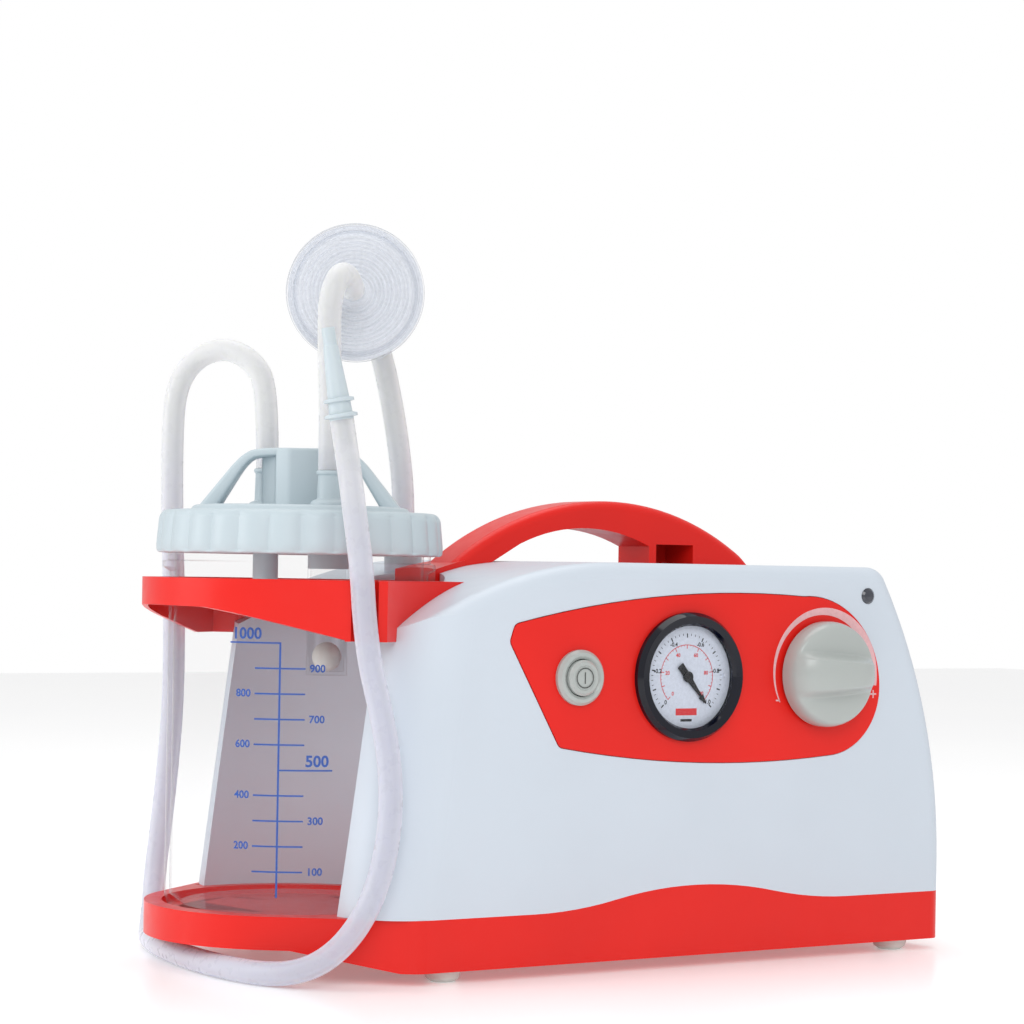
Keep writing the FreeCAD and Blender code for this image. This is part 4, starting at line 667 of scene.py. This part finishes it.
def mark_dial():
    """A vacuum dial over 270 degrees: black ticks and figures outside, a red arc with its own inside."""
    place = upright_face(GAUGE, DIAL_FACE - 0.06 * MM)
    black, red = [], []
    for step in range(41):
        bearing = -135 + 270 * step / 40
        long = step % 4 == 0
        inner, wide = (17.0, 0.55) if long else (17.8, 0.25)
        black.append(ray(place, bearing, inner * MM, 18.8 * MM, wide * MM))
        inner, wide = (12.2, 0.35) if long else (13.2, 0.2)
        red.append(ray(place, bearing, 13.9 * MM, inner * MM, wide * MM))
        if step % 8 == 0:
            angle = math.radians(bearing)
            figure = "0" if step == 0 else "-%.1f" % (0.2 * step / 8)
            across, up = 15.6 * MM * math.sin(angle), 15.6 * MM * math.cos(angle)
            black.append(figures(figure, 2.6 * MM, place, across, up))
            red.append(figures(str(20 * step // 8), 2.3 * MM, place, 10.4 * MM * math.sin(angle),
                               10.4 * MM * math.cos(angle)))
    red.append(arc_band(place, 13.7 * MM, 14.0 * MM, -135, 135, 72))
    low = upright_face((GAUGE[0], GAUGE[1] - 15.2 * MM), DIAL_FACE - 0.06 * MM)
    red.append(stripe(low, -5.6 * MM, 5.6 * MM, -1.5 * MM, 1.5 * MM, 2))
    black.append(stripe(low, -3 * MM, 3 * MM, -4.2 * MM, -3.1 * MM, 2))
    piece("dial_black_print", black, DIAL_BLACK, "housing", closed=False, smooth=False)
    piece("dial_red_print", red, DIAL_RED, "housing", closed=False, smooth=False)


def mark_button():
    """The on-off sign: an upright stroke in a ring, sunk a little; its dark colour is painted shadow standing
    for the groove.
    """
    place = upright_face(BUTTON, button_low.y + 0.1 * MM)
    groups = [
        arc_band(place, 3.9 * MM, 4.35 * MM, 0, 360, 64),
        stripe(place, -0.25 * MM, 0.25 * MM, -2.4 * MM, 2.4 * MM, 2),
    ]
    piece("button_sign", groups, PAINTED_GROOVE_SHADOW, "button", closed=False, smooth=False)


def mark_panel():
    """Pale print round the knob: a crescent that widens clockwise from minus to plus."""
    place = upright_face(KNOB, PANEL_FACE - 0.05 * MM)
    groups = [arc_band(place, 26.3 * MM, 26.8 * MM, -118, 100, 96, 26.3 * MM, 31.8 * MM)]
    minus = upright_face((KNOB[0] - 24.8 * MM, KNOB[1] - 11.7 * MM), PANEL_FACE - 0.05 * MM)
    groups.append(stripe(minus, -1.0 * MM, 1.0 * MM, -0.35 * MM, 0.35 * MM, 2))
    plus = upright_face((KNOB[0] + 29.6 * MM, KNOB[1] - 9.3 * MM), PANEL_FACE - 0.05 * MM)
    groups.append(stripe(plus, -1.8 * MM, 1.8 * MM, -0.35 * MM, 0.35 * MM, 2))
    groups.append(stripe(plus, -0.35 * MM, 0.35 * MM, -1.8 * MM, -0.35 * MM, 2))
    groups.append(stripe(plus, -0.35 * MM, 0.35 * MM, 0.35 * MM, 1.8 * MM, 2))
    piece("panel_print", groups, PINK_INK, "housing", closed=False, smooth=False)


mark_dial()
mark_button()
mark_panel()


# ---------------------------------------------------------------- knob and filter
def faced(points_depth, centre):
    """Rings of (across, up, depth) in front of the panel, as places in the frame."""
    across, up, depth = points_depth
    return np.stack([centre[0] + across, PANEL_FACE - depth + 0 * across, centre[1] + up], -1)


def grip_knob():
    """A low dome over polar rings; a bar across it stays proud and the dome is dished away at each side.

    Height is an ellipse of the radius; above a floor line it is lowered outside the bar, and the bar
    narrows from left to right by a straight taper.
    """
    rim, tall, rows, columns = 23.5 * MM, 19 * MM, 150, 480
    share = np.linspace(0, 1, rows)[:, None]
    angle = np.arange(columns) * TAU / columns
    radius = rim * np.sin(share * math.pi / 2)
    across, up = radius * np.cos(angle), radius * np.sin(angle)
    dome = 4.5 * MM + (tall - 4.5 * MM) * np.sqrt(np.clip(1 - (radius / rim) ** 2.4, 0, 1)) + 0 * angle
    half = 5.4 * MM - 0.075 * across
    beside = np.clip((np.abs(up) - half) / (4.4 * MM), 0, 1)
    beside = beside * beside * (3 - 2 * beside)
    floor_line = 8.2 * MM + 0.12 * np.abs(up)
    above = dome - floor_line
    dished = dome - 0.375 * (above + np.sqrt(above ** 2 + (1.2 * MM) ** 2))
    depth = dome * (1 - beside) + dished * beside
    wall_depth = np.array([4.5, 1.6, 1.4])[:, None] * MM + 0 * angle
    wall_radius = np.array([1.0, 1.0, 0.985])[:, None] * rim
    across = np.concatenate([across, wall_radius * np.cos(angle), 0 * angle[None]])
    up = np.concatenate([up, wall_radius * np.sin(angle), 0 * angle[None]])
    depth = np.concatenate([depth, wall_depth, 1.4 * MM + 0 * angle[None]])
    points = faced((across, up, depth), KNOB)
    faces = grid_faces(len(points), columns)
    knob = piece("grip_knob", [(points, faces)], FINISH["knob_grey"], "knob")
    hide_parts("suction_knob")


def filter_half(name, node, side):
    """Half of the disc filter: a turned shell whose outer face carries six ring waves, and a nozzle."""
    front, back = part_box("filter_front_shell"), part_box("filter_back_shell")
    centre = np.array(front[0] + front[1] + back[0] + back[1]) / 4
    normal = np.array([math.sin(LID_TURN), -math.cos(LID_TURN), 0.0]) * side
    level = np.cross((0, 0, 1), normal)
    ring = np.linspace(6.5, 27.4, 150)
    wave = 4.95 + 0.9 * np.cos((ring - 6.5) / 3.5 * TAU) * np.clip((27.4 - ring) / 1.2, 0, 1)
    outer = np.stack([ring, wave], -1)[::-1]
    profile = np.concatenate([
        [(0, 3.9), (25.5, 3.9), (27.2, 0.5), (29.9, 0.5)],
        [(30.0, 0.7), (30.0, 2.4), (29.7, 2.7), (28.2, 3.3)],
        outer, [(6.2, 5.6), (4.9, 6.6), (4.1, 8.2), (3.9, 16), (2.6, 16), (2.6, 20), (0, 20)],
    ]) * MM
    columns = 144
    angle = np.arange(columns) * TAU / columns
    radius, out = profile[:, 0][:, None, None], profile[:, 1][:, None, None]
    around = np.cos(angle)[None, :, None] * level + np.sin(angle)[None, :, None] * np.array((0, 0, 1.0))
    points = centre + radius * around + out * normal
    faces = grid_faces(len(profile), columns)
    shell = piece(name, [(points, faces)], FINISH["filter_clear"], "jar_unit")
    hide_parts(node)


grip_knob()
filter_half("ringed_filter_front", "filter_front_shell", 1)
filter_half("ringed_filter_back", "filter_back_shell", -1)
lay_hoses()


# ---------------------------------------------------------------- studio
def lay_floor():
    """A pale, slightly glossy sweep under the machine."""
    material, tree, surface = shader("pale_floor")
    tint = shades(tree, noise(tree, 3, 2.0), (0.92, 0.92, 0.93), (0.94, 0.94, 0.94))
    tree.links.new(tint, surface.inputs["Base Color"])
    surface.inputs["Roughness"].default_value = 0.28
    surface.inputs["Emission Color"].default_value = (1, 1, 1, 1)
    surface.inputs["Emission Strength"].default_value = 0.2
    half, steps = 3.0, 2
    u, v = np.meshgrid(np.linspace(-half, half, steps), np.linspace(-half, half, steps), indexing="xy")
    points = np.stack([u, v, 0 * u - 0.05 * MM], -1)
    floor = piece("floor", [(points, grid_faces(2, 2, wrap_columns=False))], material, None, closed=False,
                  smooth=False)


def lamp(name, place, aim, size, watts):
    data = bpy.data.lights.new(name, "AREA")
    data.shape, data.size, data.energy = "SQUARE", size, watts
    made = bpy.data.objects.new(name, data)
    bpy.context.scene.collection.objects.link(made)
    made.location = place
    made.rotation_mode = "QUATERNION"
    made.rotation_quaternion = (Vector(aim) - Vector(place)).to_track_quat("-Z", "Y")


def light_studio():
    """A white surround with three soft boxes: high left in front, low left behind, and overhead."""
    world = bpy.data.worlds.new("white_surround")
    world.use_nodes = True
    tree = world.node_tree
    seen = joined(tree, "ShaderNodeLightPath").outputs["Is Camera Ray"]
    background = tree.nodes["Background"]
    background.inputs["Color"].default_value = (1, 1, 1, 1)
    tree.links.new(spread(tree, seen, 0.72, 1.0, 0, 1), background.inputs["Strength"])
    bpy.context.scene.world = world
    bpy.context.scene.view_settings.view_transform = "Standard"
    middle = (0, 0, 0.12)
    lamp("key_softbox", (-0.8, -1.4, 1.0), middle, 0.9, 9)
    lamp("side_softbox", (-1.5, 0.5, 0.6), middle, 0.9, 7)
    lamp("top_softbox", (0.1, 0.3, 1.6), middle, 1.2, 8)


lay_floor()
light_studio()
